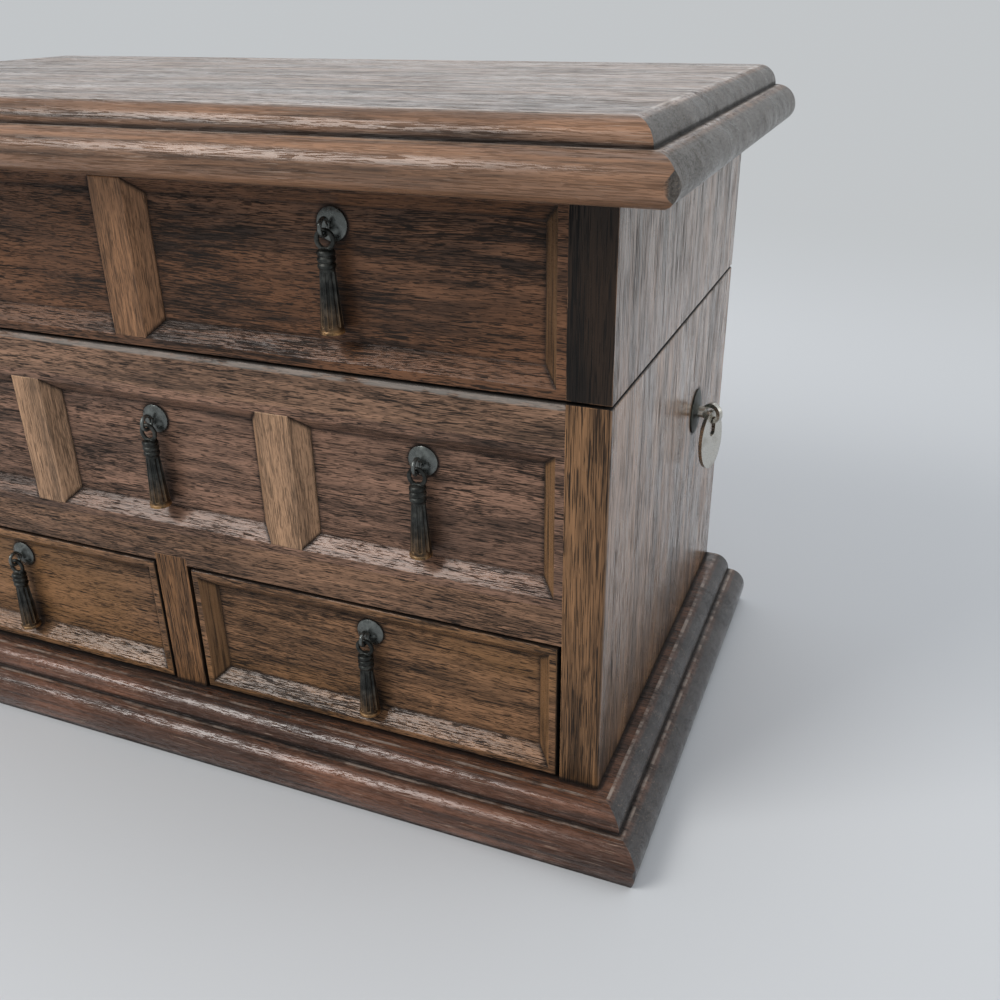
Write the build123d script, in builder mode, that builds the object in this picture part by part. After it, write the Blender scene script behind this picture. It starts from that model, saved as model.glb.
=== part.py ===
from build123d import *
from math import asin, atan2, cos, degrees, pi, radians, sin
import os

# A musical jewelry box in stained wood, with a lift-up lid, two drawers and a key-wound movement.
# Millimetres. X runs along the front, Y from the front to the back, Z up from what the box stands on.
# The origin is under the middle of the whole box, hinge knuckles included.

# Outer sizes
overall_width = 254.0
overall_depth = 133.4
overhang = 13.0
board = 9.4
back_board = 6.0
seam_gap = 0.8
edge_round = 0.5
drawer_edge_round = 0.4

# Heights, each from the level below it
base_height = 15.0
drawer_opening_height = 37.4
lower_rail_height = 9.4
panel_height = 37.9
upper_rail_height = 9.4
lid_box_height = 39.2
lid_board_height = 13.9

# Routed edge of the base board and of the lid board
base_round_height = 4.7
base_bulge_height = 5.2
base_under_radius = 12.0
lid_round_height = 4.8
lid_bulge_height = 3.9
lid_under_radius = 3.9
ledge_width = 0.45
base_corner_round = 0.8
lid_corner_round = 3.0

# Sunk fields of the fronts and the blocks between them
field_depth = 3.5
panel_border = 2.0
drawer_border = 1.8
block_face_width = 8.5
post_width = 9.4
post_notch = 2.0

# Drawers
drawer_side_gap = 1.0
drawer_top_gap = 1.0
drawer_bottom_gap = 0.8
runner_gap = 0.3
drawer_wall = 5.0
drawer_wall_height = 31.0
drawer_bottom_board = 2.5
drawer_bottom_rise = 2.0
drawer_inset = 0.6
drawer_back_gap = 1.2
lining = 1.2
lining_gap = 0.3
glue_gap = 0.05

# Tray over the drawers
partition = 4.0
tray_floor_board = 3.0
divider = 3.0
divider_height = 38.4
long_divider_from_key = 20.0
cross_divider_x = -19.5
wall_lining_height = 47.0
roll_height = 22.0
roll_count = 5
roll_gap = 0.5

# Hanging pulls
plate_radius = 3.5
plate_rim = 0.35
plate_dome = 1.1
plate_bow = 0.75
eye_wire = 0.45
eye_radius = 1.65
shank_radius = 0.5
shank_clearance = 0.05
eye_stand_off = 0.2
drop_ring_radius = 1.9
drop_ring_wire = 0.5
link_clearance = 0.1
neck_radius = 1.95
neck_groove = 0.35
neck_band_height = 1.3
neck_bands = 3
skirt_bottom_radius = 2.45
skirt_length = 12.7
skirt_flutes = 8
flute_radius = 0.42
rim_radius = 2.6
rim_height = 0.9
rim_dome = 0.27
lid_pull_rise = 10.4
middle_pull_rise = 9.75
drawer_pull_rise = 8.8

# Hinges
hinge_x = 60.0
hinge_length = 30.0
leaf = 0.8
leaf_width = 5.5
knuckle_radius = 1.5
knuckle_set_off = 0.2
knuckle_gap = 0.15
hinge_pin_radius = 0.6
running_clearance = 0.05
hinge_screw_spread = 20.0
screw_head_radius = 1.35
screw_head_height = 0.6
screw_shank_radius = 0.75
screw_length = 5.0
screw_clearance = 0.03
screw_slot = 0.3
screw_slot_depth = 0.25
plate_screw_inset = 3.0

# Mirror in the lid
mirror_thickness = 3.0
mirror_margin = 16.0
surround_lip = 2.0
surround_cover = 0.8
surround_gap = 0.3

# Winding key on the right side
key_from_back = 37.7
key_below_top = 30.6
key_shaft_radius = 1.6
key_wall_hole = 2.3
key_plate_radius = 6.0
key_plate_thickness = 1.0
key_eye_stand = 4.6
key_eye_outer = 2.8
key_eye_hole = 1.6
key_eye_thickness = 1.4
key_turnout = 22.0
flag_length = 17.0
flag_width = 9.5
flag_thickness = 1.1
flag_bar = 1.8
flag_slot_width = 2.4
flag_slot_length = 5.6

# Movement behind the right side
bedplate = 1.6
bedplate_half_height = 17.5
bedplate_front_reach = 15.0
bedplate_rear_reach = 31.0
barrel_radius = 9.5
barrel_wall = 0.8
barrel_depth = 9.4
barrel_gap = 0.6
crown_teeth = 28
crown_radius = 7.0
crown_face = 1.2
crown_tooth = 0.5
pinion_teeth = 10
pinion_tooth = 0.44
pinion_root = 1.7
tooth_above = 0.35
tooth_under = 0.4
crown_base_gap = 0.6
drum_radius = 6.0
drum_length = 14.4
drum_shaft_radius = 0.8
drum_pin_height = 0.35
drum_pin_radius = 0.2
comb_teeth = 18
comb_pitch = 0.78
comb_slot = 0.14
comb_tooth_length = 5.5
comb_foot_height = 4.6
comb_foot_set_off = 0.5
comb_thickness = 1.0
comb_gap = 0.25
pins_per_tooth = 4
pin_turn_step = 137.5
pin_turn_drift = 11.0
bearing_plate = 1.4
bearing_gap = 0.5
wheel_teeth = 44
wheel_pitch = 0.9
wheel_tooth = 0.3
wheel_tooth_above = 0.22
wheel_tooth_below = 0.4
wheel_thickness = 1.2
fly_teeth = 8
fly_angle = 30.0
fly_shaft_radius = 0.4
fly_radius = 3.6
fly_blade = 0.5
fly_length = 11.0
spring_strip = 0.4
spring_pitch = 1.0
spring_inner_radius = 2.3
spring_half_turns = 12
stop_wire_radius = 0.7
stop_wire_bend = 2.0
stop_wire_reach = 4.4
stop_wire_inside_barrel = 1.5
stop_fly_gap = 0.4
stop_lid_gap = 0.1
stop_groove_width = 1.8
stop_groove_depth = 1.1
stop_groove_spare = 0.6
cover_thickness = 1.6
cover_hole_radius = 1.3
music_bay_width = 28.6

# Levels and planes that follow from the sizes
hinge_axis_out = knuckle_radius + knuckle_set_off
hinge_projection = hinge_axis_out + knuckle_radius
half_width = overall_width / 2
base_front = -(overall_depth + hinge_projection) / 2
front = base_front + overhang
back = base_front + overall_depth
side = half_width - overhang
inner_side = side - board
inner_front = front + board
inner_back = back - back_board
field_plane = front + field_depth
rail_bottom = base_height + drawer_opening_height
panel_bottom = rail_bottom + lower_rail_height
panel_top = panel_bottom + panel_height
case_top = panel_top + upper_rail_height
lid_bottom = case_top + seam_gap
hinge_axis_y = back + hinge_axis_out
hinge_axis_z = case_top + seam_gap / 2
lid_board_bottom = lid_bottom + lid_box_height
overall_height = lid_board_bottom + lid_board_height
tray_bottom = rail_bottom + post_notch + runner_gap
tray_level = tray_bottom + tray_floor_board
divider_top = tray_level + divider_height
key_y = back - key_from_back
key_height = case_top - key_below_top
divider_front = key_y - long_divider_from_key
divider_back = divider_front + divider
music_wall_x = inner_side - music_bay_width
post_side = post_width / 2

# Places of the pulls and blocks
recess_half_width = inner_side - panel_border
floor_half_width = recess_half_width - field_depth
block_foot_width = block_face_width + 2 * field_depth
lid_field_width = floor_half_width - block_foot_width / 2
lid_pull_x = block_foot_width / 2 + lid_field_width / 2
middle_field_width = (2 * floor_half_width - 2 * block_foot_width) / 3
block_x = (middle_field_width + block_foot_width) / 2
middle_pull_x = middle_field_width + block_foot_width
drawer_low_x = post_side + drawer_side_gap
drawer_high_x = inner_side - drawer_side_gap
drawer_pull_x = (drawer_low_x + drawer_high_x) / 2
drawer_front_bottom = base_height + drawer_bottom_gap
drawer_front_top = rail_bottom - drawer_top_gap
lid_panel_middle = lid_bottom + lid_box_height / 2
middle_panel_middle = panel_bottom + panel_height / 2
drawer_middle = (drawer_front_bottom + drawer_front_top) / 2
lid_recess_height = lid_box_height - 2 * panel_border
middle_recess_height = panel_height - 2 * panel_border
lid_pull_z = lid_panel_middle + lid_pull_rise
middle_pull_z = middle_panel_middle + middle_pull_rise
drawer_pull_z = drawer_middle + drawer_pull_rise
eye_y = field_plane - plate_dome - eye_stand_off - eye_wire - eye_radius
link_drop = eye_radius - eye_wire - drop_ring_wire - link_clearance

# Places in the movement
plate_inner_x = inner_side - bedplate
barrel_outer_x = plate_inner_x - barrel_gap
barrel_inner_x = barrel_outer_x - barrel_depth
pitch_plane_x = barrel_inner_x - crown_base_gap - tooth_under
pinion_pitch_radius = crown_radius * pinion_teeth / crown_teeth
drum_x = pitch_plane_x - pinion_pitch_radius
front_bearing_y = key_y + barrel_radius + bearing_gap
wheel_y = front_bearing_y + bearing_plate + bearing_gap
drum_start_y = wheel_y + wheel_thickness
drum_end_y = drum_start_y + drum_length
rear_bearing_y = drum_end_y + bearing_gap
wheel_pitch_radius = wheel_teeth * wheel_pitch / (2 * pi)
fly_pitch_radius = fly_teeth * wheel_pitch / (2 * pi)
fly_distance = wheel_pitch_radius + fly_pitch_radius
fly_x = drum_x - fly_distance * cos(radians(fly_angle))
fly_z = key_height + fly_distance * sin(radians(fly_angle))
fly_bearing_y = key_y - barrel_radius - bearing_gap - bearing_plate
fly_start_y = fly_bearing_y + bearing_plate + bearing_gap
comb_x = drum_x
comb_tip_z = key_height - drum_radius - drum_pin_height - comb_gap
comb_foot_z = key_height - bedplate_half_height + comb_foot_set_off
stop_y = key_y - barrel_radius + stop_wire_inside_barrel
stop_x = barrel_outer_x - stop_wire_radius
stop_low_z = fly_z + fly_radius + stop_wire_radius + stop_fly_gap
stop_top_z = lid_bottom - stop_wire_radius - stop_lid_gap


def save(piece, name):
    """Labels a finished piece and writes it as its own file."""
    piece.part.label = name
    export_step(piece.part, f"parts/{name}.step")


def slab(low, high, mode=Mode.ADD):
    """Adds or cuts a block between two corners."""
    with BuildSketch(Plane.XY.offset(low[2])) as section:
        with Locations(((low[0] + high[0]) / 2, (low[1] + high[1]) / 2)):
            Rectangle(high[0] - low[0], high[1] - low[1])
    extrude(section.sketch, amount=high[2] - low[2], mode=mode)


def rod(start, end, radius, mode=Mode.ADD):
    """Adds or cuts a round bar between two points."""
    run = Vector(*end) - Vector(*start)
    with BuildSketch(Plane(origin=start, z_dir=run)) as section:
        Circle(radius)
    extrude(section.sketch, amount=run.length, mode=mode)


def plain_board(name, low, high):
    """A square-edged board."""
    with BuildPart() as piece:
        slab(low, high)
    save(piece, name)


def recess(middle_x, middle_z, width, height, mode=Mode.SUBTRACT):
    """The sunk field of a front: 45 degree bevels down to a flat floor."""
    opening = Plane(origin=(middle_x, front, middle_z), x_dir=(1, 0, 0), z_dir=(0, 1, 0))
    with BuildSketch(opening) as section:
        Rectangle(width, height)
    extrude(section.sketch, amount=field_depth, taper=45, mode=mode)


def routed_edge(outer, way, bottom, top, round_height, bulge_height, under_radius):
    """One routed edge as lines: a quarter round, a small ledge and a fuller round under it."""
    ledge_z = top - round_height
    bulge_z = bottom + bulge_height
    bulge_radius = ledge_z - bulge_z
    ledge_end = outer - way * bulge_radius
    ledge_start = ledge_end - way * ledge_width
    flat_end = ledge_start - way * round_height
    under_angle = degrees(asin(bulge_height / under_radius))
    under_end = outer - way * under_radius * (1 - cos(radians(under_angle)))
    level = 0 if way > 0 else 180
    CenterArc((flat_end, ledge_z), round_height, level, way * 90)
    Line((ledge_start, ledge_z), (ledge_end, ledge_z))
    CenterArc((ledge_end, bulge_z), bulge_radius, level, way * 90)
    CenterArc((outer - way * under_radius, bulge_z), under_radius, level, -way * under_angle)
    return flat_end, under_end


def routed_board(name, bottom, top, round_height, bulge_height, under_radius, corner_round):
    """A solid board with a routed edge on the front and both ends, square at the back."""
    edge = (bottom, top, round_height, bulge_height, under_radius)
    middle_y = (base_front + back) / 2
    with BuildPart() as piece:
        with BuildSketch(Plane.YZ):
            with BuildLine():
                top_end, under_end = routed_edge(base_front, -1, *edge)
                Polyline((top_end, top), (back, top), (back, bottom), (under_end, bottom))
            make_face()
        extrude(amount=half_width, both=True)
        with BuildSketch(Plane.XZ):
            with BuildLine():
                right_top, right_under = routed_edge(half_width, 1, *edge)
                left_top, left_under = routed_edge(-half_width, -1, *edge)
                Line((left_top, top), (right_top, top))
                Line((left_under, bottom), (right_under, bottom))
            make_face()
        extrude(amount=overall_depth + overhang, both=True, mode=Mode.INTERSECT)
        with BuildSketch(Plane.XY.offset(bottom)) as outline:
            with Locations((0, middle_y)):
                Rectangle(2 * half_width, back - base_front)
            fillet(outline.vertices().group_by(Axis.Y)[0], radius=corner_round)
        extrude(amount=top - bottom, mode=Mode.INTERSECT)
    save(piece, name)


def bedplate_screws():
    """Where the four screws of the bedplate stand, across the side board."""
    low_y = key_y - bedplate_front_reach + plate_screw_inset
    high_y = key_y + bedplate_rear_reach - plate_screw_inset
    rise = bedplate_half_height - plate_screw_inset
    return [(y, key_height + z) for y in (low_y, high_y) for z in (-rise, rise)]


def screw(head, way, clearance=0.0, mode=Mode.ADD):
    """A countersunk screw, or its hole: head flush at a point, shank going along way."""
    way = Vector(*way)
    across = Vector(0, 1, 0) if abs(way.X) > 0.5 else Vector(1, 0, 0)
    with BuildSketch(Plane(origin=head, x_dir=across, z_dir=across.cross(way))) as profile:
        with BuildLine():
            Polyline(
                (0, 0),
                (screw_head_radius + clearance, 0),
                (screw_shank_radius + clearance, screw_head_height),
                (screw_shank_radius + clearance, screw_length + clearance),
                (0, screw_length + clearance),
                close=True,
            )
        make_face()
    revolve(profile.sketch, axis=Axis(head, way), mode=mode)


def case_side(name, way):
    """A side board of the case; its front edge is the post seen at the end of the front."""
    low_x = min(way * inner_side, way * side)
    with BuildPart() as piece:
        slab((low_x, front, base_height), (low_x + board, back, case_top))
        outer_face = piece.faces().filter_by(Axis.X).sort_by(Axis.X)[-1 if way > 0 else 0]
        worn = outer_face.edges().group_by(Axis.Z)[-1] + outer_face.edges().group_by(Axis.Y)[0]
        fillet(worn, radius=edge_round)
        if way > 0:
            through = (inner_side - 1, key_y, key_height), (side + 1, key_y, key_height)
            rod(*through, key_wall_hole, Mode.SUBTRACT)
            groove_front = stop_y - stop_groove_width / 2
            groove_end = inner_side + stop_wire_reach + stop_groove_spare
            slab(
                (inner_side - 1, groove_front, case_top - stop_groove_depth),
                (groove_end, groove_front + stop_groove_width, case_top + 1),
                Mode.SUBTRACT,
            )
            for y, z in bedplate_screws():
                screw((plate_inner_x, y, z), (1, 0, 0), screw_clearance, Mode.SUBTRACT)
    save(piece, name)


def hinge_mortises(level, height):
    """Shallow seats for the two hinge leaves in the back board's edge."""
    for x in (-hinge_x, hinge_x):
        slab(
            (x - hinge_length / 2, back - leaf_width, level),
            (x + hinge_length / 2, back + 1, level + height),
            Mode.SUBTRACT,
        )


def hinge_screw_places():
    """Where the screws stand in the two leaves of one half of the hinges."""
    reach = hinge_screw_spread / 2
    return [(x + step, back - leaf_width / 2) for x in (-hinge_x, hinge_x) for step in (-reach, reach)]


def back_panel(name, bottom, top, seam, way):
    """A back board with the hinge seats in its edge at the seam."""
    with BuildPart() as piece:
        slab((-inner_side, inner_back, bottom), (inner_side, back, top))
        hinge_mortises(min(seam, seam + way * leaf), leaf)
        for x, y in hinge_screw_places():
            screw((x, y, seam), (0, 0, way), screw_clearance, Mode.SUBTRACT)
    save(piece, name)


def hinge_leaves(name, seam, way, inner_knuckle):
    """The leaves on one side of the seam, each rolled round the pin at its knuckles."""
    third = hinge_length / 3
    bore = hinge_pin_radius + (running_clearance if inner_knuckle else screw_clearance)
    axis_point = (hinge_axis_y, hinge_axis_z)
    low = min(seam, seam + way * leaf)
    plate_end = hinge_axis_y - knuckle_radius - knuckle_gap
    with BuildPart() as piece:
        for x in (-hinge_x, hinge_x):
            start = x - hinge_length / 2
            slab((start, back - leaf_width, low), (start + hinge_length, plate_end, low + leaf))
            spans = [(1, 2)] if inner_knuckle else [(0, 1), (2, 3)]
            for first, last in spans:
                low_x = start + first * third + (knuckle_gap / 2 if first else 0)
                high_x = start + last * third - (knuckle_gap / 2 if last < 3 else 0)
                slab((low_x, back - knuckle_gap, low), (high_x, hinge_axis_y, low + leaf))
                rod((low_x, *axis_point), (high_x, *axis_point), knuckle_radius)
            rod((start - 1, *axis_point), (start + hinge_length + 1, *axis_point), bore, Mode.SUBTRACT)
        for x, y in hinge_screw_places():
            screw((x, y, seam), (0, 0, way), screw_clearance, Mode.SUBTRACT)
    save(piece, name)


def hinge_screws(name, seam, way):
    """The countersunk screws of the leaves on one side of the seam, each with its slot."""
    with BuildPart() as piece:
        for x, y in hinge_screw_places():
            screw((x, y, seam), (0, 0, way))
            slot_z = min(seam, seam + way * screw_slot_depth)
            slab(
                (x - screw_head_radius, y - screw_slot / 2, slot_z),
                (x + screw_head_radius, y + screw_slot / 2, slot_z + screw_slot_depth),
                Mode.SUBTRACT,
            )
    save(piece, name)


def hinge_pins():
    """One pin through the knuckles of each hinge."""
    with BuildPart() as piece:
        for x in (-hinge_x, hinge_x):
            start = (x - hinge_length / 2, hinge_axis_y, hinge_axis_z)
            rod(start, (x + hinge_length / 2, hinge_axis_y, hinge_axis_z), hinge_pin_radius)
    save(piece, "hinge_pins")


def shank_hole(x, z):
    """The hole that a pull's eye passes through."""
    rod((x, front - 1, z), (x, inner_front + 1, z), shank_radius + shank_clearance, Mode.SUBTRACT)


def sunk_front(name, bottom, top, middle_z, height, pulls, pull_z):
    """A front board between the side boards, with one long sunk field and the holes for its pulls."""
    with BuildPart() as piece:
        slab((-inner_side, front, bottom), (inner_side, inner_front, top))
        recess(0, middle_z, 2 * recess_half_width, height)
        for x in pulls:
            shank_hole(x, pull_z)
    save(piece, name)


def upright_blocks(name, places, middle_z, height):
    """Applied blocks across a sunk field, with sloped cheeks and ends cut to the bevels."""
    with BuildPart() as piece:
        recess(0, middle_z, 2 * recess_half_width, height, mode=Mode.ADD)
        with BuildSketch(Plane.XY.offset(middle_z - height)):
            for x in places:
                with BuildLine():
                    Polyline(
                        (x - block_face_width / 2, front),
                        (x + block_face_width / 2, front),
                        (x + block_foot_width / 2, field_plane),
                        (x - block_foot_width / 2, field_plane),
                        close=True,
                    )
                make_face()
        extrude(amount=2 * height, mode=Mode.INTERSECT)
    save(piece, name)


def pull_plate(x, z):
    """The round domed plate behind a pull."""
    seat = (x, field_plane, z)
    hole = shank_radius + shank_clearance
    middle = (hole + plate_radius) / 2
    bow = plate_rim + (plate_dome - plate_rim) * plate_bow
    with BuildSketch(Plane(origin=seat, x_dir=(1, 0, 0), z_dir=(0, 0, -1))) as profile:
        with BuildLine():
            Polyline((hole, plate_dome), (hole, 0), (plate_radius, 0), (plate_radius, plate_rim))
            ThreePointArc((plate_radius, plate_rim), (middle, bow), (hole, plate_dome))
        make_face()
    revolve(profile.sketch, axis=Axis(seat, (0, -1, 0)))


def pull_mounts(name, places):
    """The plate and the wire eye of each pull on one front; the eye's shank passes through the wood."""
    with BuildPart() as piece:
        for x, z in places:
            pull_plate(x, z)
            with Locations(Plane(origin=(x, eye_y, z), z_dir=(1, 0, 0))):
                Torus(eye_radius, eye_wire)
            rod((x, eye_y + eye_radius, z), (x, inner_front - shank_clearance, z), shank_radius)
    save(piece, name)


def drop(name, x, z):
    """A cast tassel: a ring, a banded neck, and a fluted skirt with a heavier rim."""
    pivot_z = z - link_drop
    ring_z = pivot_z - drop_ring_radius
    neck_z = ring_z - drop_ring_radius
    bands_z = neck_z - neck_bands * neck_band_height
    skirt_z = bands_z - skirt_length
    neck_top = neck_z + drop_ring_wire / 2
    groove = neck_radius - neck_groove
    rim_z = skirt_z - rim_height + rim_dome
    dome_radius = (rim_radius**2 + rim_dome**2) / (2 * rim_dome)
    dome_centre = rim_z - rim_dome + dome_radius
    with BuildPart() as piece:
        with BuildSketch(Plane(origin=(x, eye_y, 0), x_dir=(1, 0, 0), z_dir=(0, -1, 0))):
            with BuildLine():
                Polyline((0, neck_top), (drop_ring_radius / 2, neck_top), (groove, neck_z))
                for band in range(neck_bands):
                    band_top = neck_z - band * neck_band_height
                    band_end = band_top - neck_band_height
                    crest = (neck_radius, (band_top + band_end) / 2)
                    ThreePointArc((groove, band_top), crest, (groove, band_end))
                Polyline(
                    (groove, bands_z),
                    (skirt_bottom_radius, skirt_z),
                    (rim_radius, skirt_z),
                    (rim_radius, rim_z),
                )
                CenterArc((0, dome_centre), dome_radius, -90, degrees(asin(rim_radius / dome_radius)))
                Line((0, rim_z - rim_dome), (0, neck_top))
            make_face()
        revolve(axis=Axis((x, eye_y, 0), (0, 0, 1)))
        lean = (skirt_bottom_radius - groove) / skirt_length
        for flute in range(skirt_flutes):
            turn = 2 * pi * (flute + 0.5) / skirt_flutes
            out = Vector(cos(turn), sin(turn), 0)
            start = Vector(x, eye_y, bands_z - flute_radius) + out * (groove + flute_radius / 4)
            run = out * lean - Vector(0, 0, 1)
            with BuildSketch(Plane(origin=start, z_dir=run)):
                Circle(flute_radius)
        extrude(amount=skirt_length - 3 * flute_radius, mode=Mode.SUBTRACT)
        with Locations(Plane(origin=(x, eye_y, ring_z), x_dir=(0, 0, 1), z_dir=(0, 1, 0))):
            Torus(drop_ring_radius, drop_ring_wire)
    save(piece, name)


def rails():
    """The two rails across the front; the lower one is notched for the divider post."""
    with BuildPart() as upper_rail:
        slab((-inner_side, front, panel_top), (inner_side, inner_front, case_top))
        worn = upper_rail.faces().sort_by(Axis.Y)[0].edges().group_by(Axis.Z)[-1]
        fillet(worn, radius=edge_round)
    save(upper_rail, "upper_rail")
    with BuildPart() as lower_rail:
        slab((-inner_side, front, rail_bottom), (inner_side, inner_front, panel_bottom))
        notch_low = (-post_side, front - 1, rail_bottom - 1)
        slab(notch_low, (post_side, inner_front + 1, rail_bottom + post_notch), Mode.SUBTRACT)
    save(lower_rail, "lower_rail")


def span(way, low, high):
    """The left and right ends of a stretch, mirrored for the left drawer."""
    return (low, high) if way > 0 else (-high, -low)


def drawer(name, way):
    """A drawer: bevelled front, two side walls and a back, a bottom and its lining."""
    front_low, front_high = span(way, drawer_low_x, drawer_high_x)
    box_low, box_high = front_low + drawer_inset, front_high - drawer_inset
    box_bottom = base_height + runner_gap
    box_top = box_bottom + drawer_wall_height
    box_back = inner_back - drawer_back_gap
    with BuildPart() as face:
        slab((front_low, front, drawer_front_bottom), (front_high, inner_front, drawer_front_top))
        fillet(face.faces().sort_by(Axis.Y)[0].edges(), radius=drawer_edge_round)
        recess(
            (front_low + front_high) / 2,
            drawer_middle,
            front_high - front_low - 2 * drawer_border,
            drawer_front_top - drawer_front_bottom - 2 * drawer_border,
        )
        shank_hole(way * drawer_pull_x, drawer_pull_z)
    save(face, f"{name}_drawer_front")
    with BuildPart() as walls:
        for low_x in (box_low, box_high - drawer_wall):
            slab((low_x, inner_front, box_bottom), (low_x + drawer_wall, box_back, box_top))
        slab(
            (box_low + drawer_wall + glue_gap, box_back - drawer_wall, box_bottom),
            (box_high - drawer_wall - glue_gap, box_back, box_top),
        )
    save(walls, f"{name}_drawer_walls")
    floor_low = (box_low + drawer_wall, inner_front, box_bottom + drawer_bottom_rise)
    floor_high = (box_high - drawer_wall, box_back - drawer_wall, floor_low[2] + drawer_bottom_board)
    plain_board(f"{name}_drawer_bottom", floor_low, floor_high)
    plain_board(
        f"{name}_drawer_lining",
        (floor_low[0] + lining_gap, floor_low[1] + lining_gap, floor_high[2]),
        (floor_high[0] - lining_gap, floor_high[1] - lining_gap, floor_high[2] + lining),
    )


def tray():
    """The tray over the drawers: its floor, its dividers and the wall of the music bay."""
    plain_board("tray_floor", (-inner_side, inner_front, tray_bottom), (inner_side, inner_back, tray_level))
    plain_board(
        "tray_long_divider",
        (-inner_side, divider_front, tray_level),
        (inner_side, divider_back, divider_top),
    )
    plain_board(
        "tray_cross_divider",
        (cross_divider_x, inner_front + lining, tray_level),
        (cross_divider_x + divider, divider_front, divider_top),
    )
    plain_board(
        "music_bay_wall",
        (music_wall_x, divider_back, tray_level),
        (music_wall_x + divider, inner_back, divider_top),
    )


def tray_lining():
    """Velvet-covered cards on the floor and the walls of the tray's three bays."""
    pad_front = inner_front + lining
    card = tray_level + lining
    card_top = tray_level + wall_lining_height
    wall_start = card + glue_gap
    with BuildPart() as piece:
        slab((-inner_side, inner_front, tray_level), (inner_side, pad_front, card_top))
        slab((-inner_side, pad_front + glue_gap, tray_level), (cross_divider_x, divider_front, card))
        slab((cross_divider_x + divider, pad_front + glue_gap, tray_level), (inner_side, divider_front, card))
        slab((-inner_side, divider_back, tray_level), (music_wall_x, inner_back, card))
        for low_x in (-inner_side, inner_side - lining):
            slab((low_x, pad_front + glue_gap, wall_start), (low_x + lining, divider_front, card_top))
        slab((-inner_side, divider_back, wall_start), (-inner_side + lining, inner_back, card_top))
        rear_start = (-inner_side + lining + glue_gap, inner_back - lining, wall_start)
        slab(rear_start, (music_wall_x, inner_back, card_top))
    save(piece, "tray_lining")


def ring_rolls():
    """Round-topped rolls along the front left bay; rings are held in the gaps between them."""
    first_y = inner_front + lining + roll_gap
    pitch = (divider_front - first_y) / roll_count
    roll_width = pitch - roll_gap
    shoulder = roll_height - roll_width / 2
    bottom = tray_level + lining + lining_gap
    low_x = -inner_side + lining + lining_gap
    with BuildPart() as piece:
        with BuildSketch(Plane.YZ.offset(low_x)):
            for roll in range(roll_count):
                middle_y = first_y + roll_width / 2 + roll * pitch
                with Locations((middle_y, bottom + shoulder / 2)):
                    Rectangle(roll_width, shoulder)
                with Locations((middle_y, bottom + shoulder)):
                    Circle(roll_width / 2)
        extrude(amount=cross_divider_x - lining_gap - low_x)
    save(piece, "ring_rolls")


def mirror():
    """The mirror under the lid board and the lined surround that laps over its edge."""
    half_x = inner_side - mirror_margin
    low_y = inner_front + mirror_margin
    high_y = inner_back - mirror_margin
    glass_low = lid_board_bottom - mirror_thickness
    plain_board("lid_mirror", (-half_x, low_y, glass_low), (half_x, high_y, lid_board_bottom))
    outer_x = inner_side - surround_gap
    with BuildPart() as surround:
        slab(
            (-outer_x, inner_front + surround_gap, glass_low - surround_cover),
            (outer_x, inner_back - surround_gap, lid_board_bottom),
        )
        slab((-half_x, low_y, glass_low), (half_x, high_y, lid_board_bottom), Mode.SUBTRACT)
        slab(
            (-half_x + surround_lip, low_y + surround_lip, glass_low - surround_cover),
            (half_x - surround_lip, high_y - surround_lip, glass_low),
            Mode.SUBTRACT,
        )
    save(surround, "mirror_surround")


def key_plate():
    """The round plate round the key's shaft on the right side."""
    seat = (side, key_y, key_height)
    hole = key_shaft_radius + 2 * running_clearance
    crown = plate_rim + (key_plate_thickness - plate_rim) * plate_bow
    with BuildPart() as piece:
        with BuildSketch(Plane(origin=seat, x_dir=(0, 0, 1), z_dir=(0, 1, 0))):
            with BuildLine():
                inner_edge = (hole, key_plate_thickness)
                outer_edge = (key_plate_radius, plate_rim)
                Polyline(inner_edge, (hole, 0), (key_plate_radius, 0), outer_edge)
                ThreePointArc(outer_edge, ((hole + key_plate_radius) / 2, crown), inner_edge)
            make_face()
        revolve(axis=Axis(seat, (1, 0, 0)))
    save(piece, "key_plate")


def winding_key():
    """The winding shaft with its eye, and the slotted flag that hangs in the eye."""
    turn_x, turn_y = sin(radians(key_turnout)), cos(radians(key_turnout))
    eye = (side + key_eye_stand, key_y, key_height)
    eye_plane = Plane(origin=eye, x_dir=(turn_y, -turn_x, 0), z_dir=(-turn_x, -turn_y, 0))
    inner_end = barrel_inner_x + barrel_wall + running_clearance
    with BuildPart() as stem:
        rod((inner_end, key_y, key_height), (eye[0] - key_eye_hole, key_y, key_height), key_shaft_radius)
        with BuildSketch(eye_plane):
            Circle(key_eye_outer)
        extrude(amount=key_eye_thickness / 2, both=True)
        with BuildSketch(eye_plane):
            Circle(key_eye_hole)
        extrude(amount=2 * key_eye_outer, both=True, mode=Mode.SUBTRACT)
    save(stem, "winding_key_stem")
    flag_plane = Plane(origin=eye, x_dir=(turn_x, turn_y, 0), z_dir=(turn_y, -turn_x, 0))
    with BuildPart() as flag:
        with BuildSketch(flag_plane):
            with Locations((0, flag_bar / 2 - flag_length / 2)):
                Ellipse(flag_width / 2, flag_length / 2)
            with Locations((0, -flag_bar / 2 - flag_slot_length / 2)):
                SlotOverall(flag_slot_length, flag_slot_width, rotation=90, mode=Mode.SUBTRACT)
        extrude(amount=flag_thickness / 2, both=True)
    save(flag, "winding_key_flag")


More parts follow.
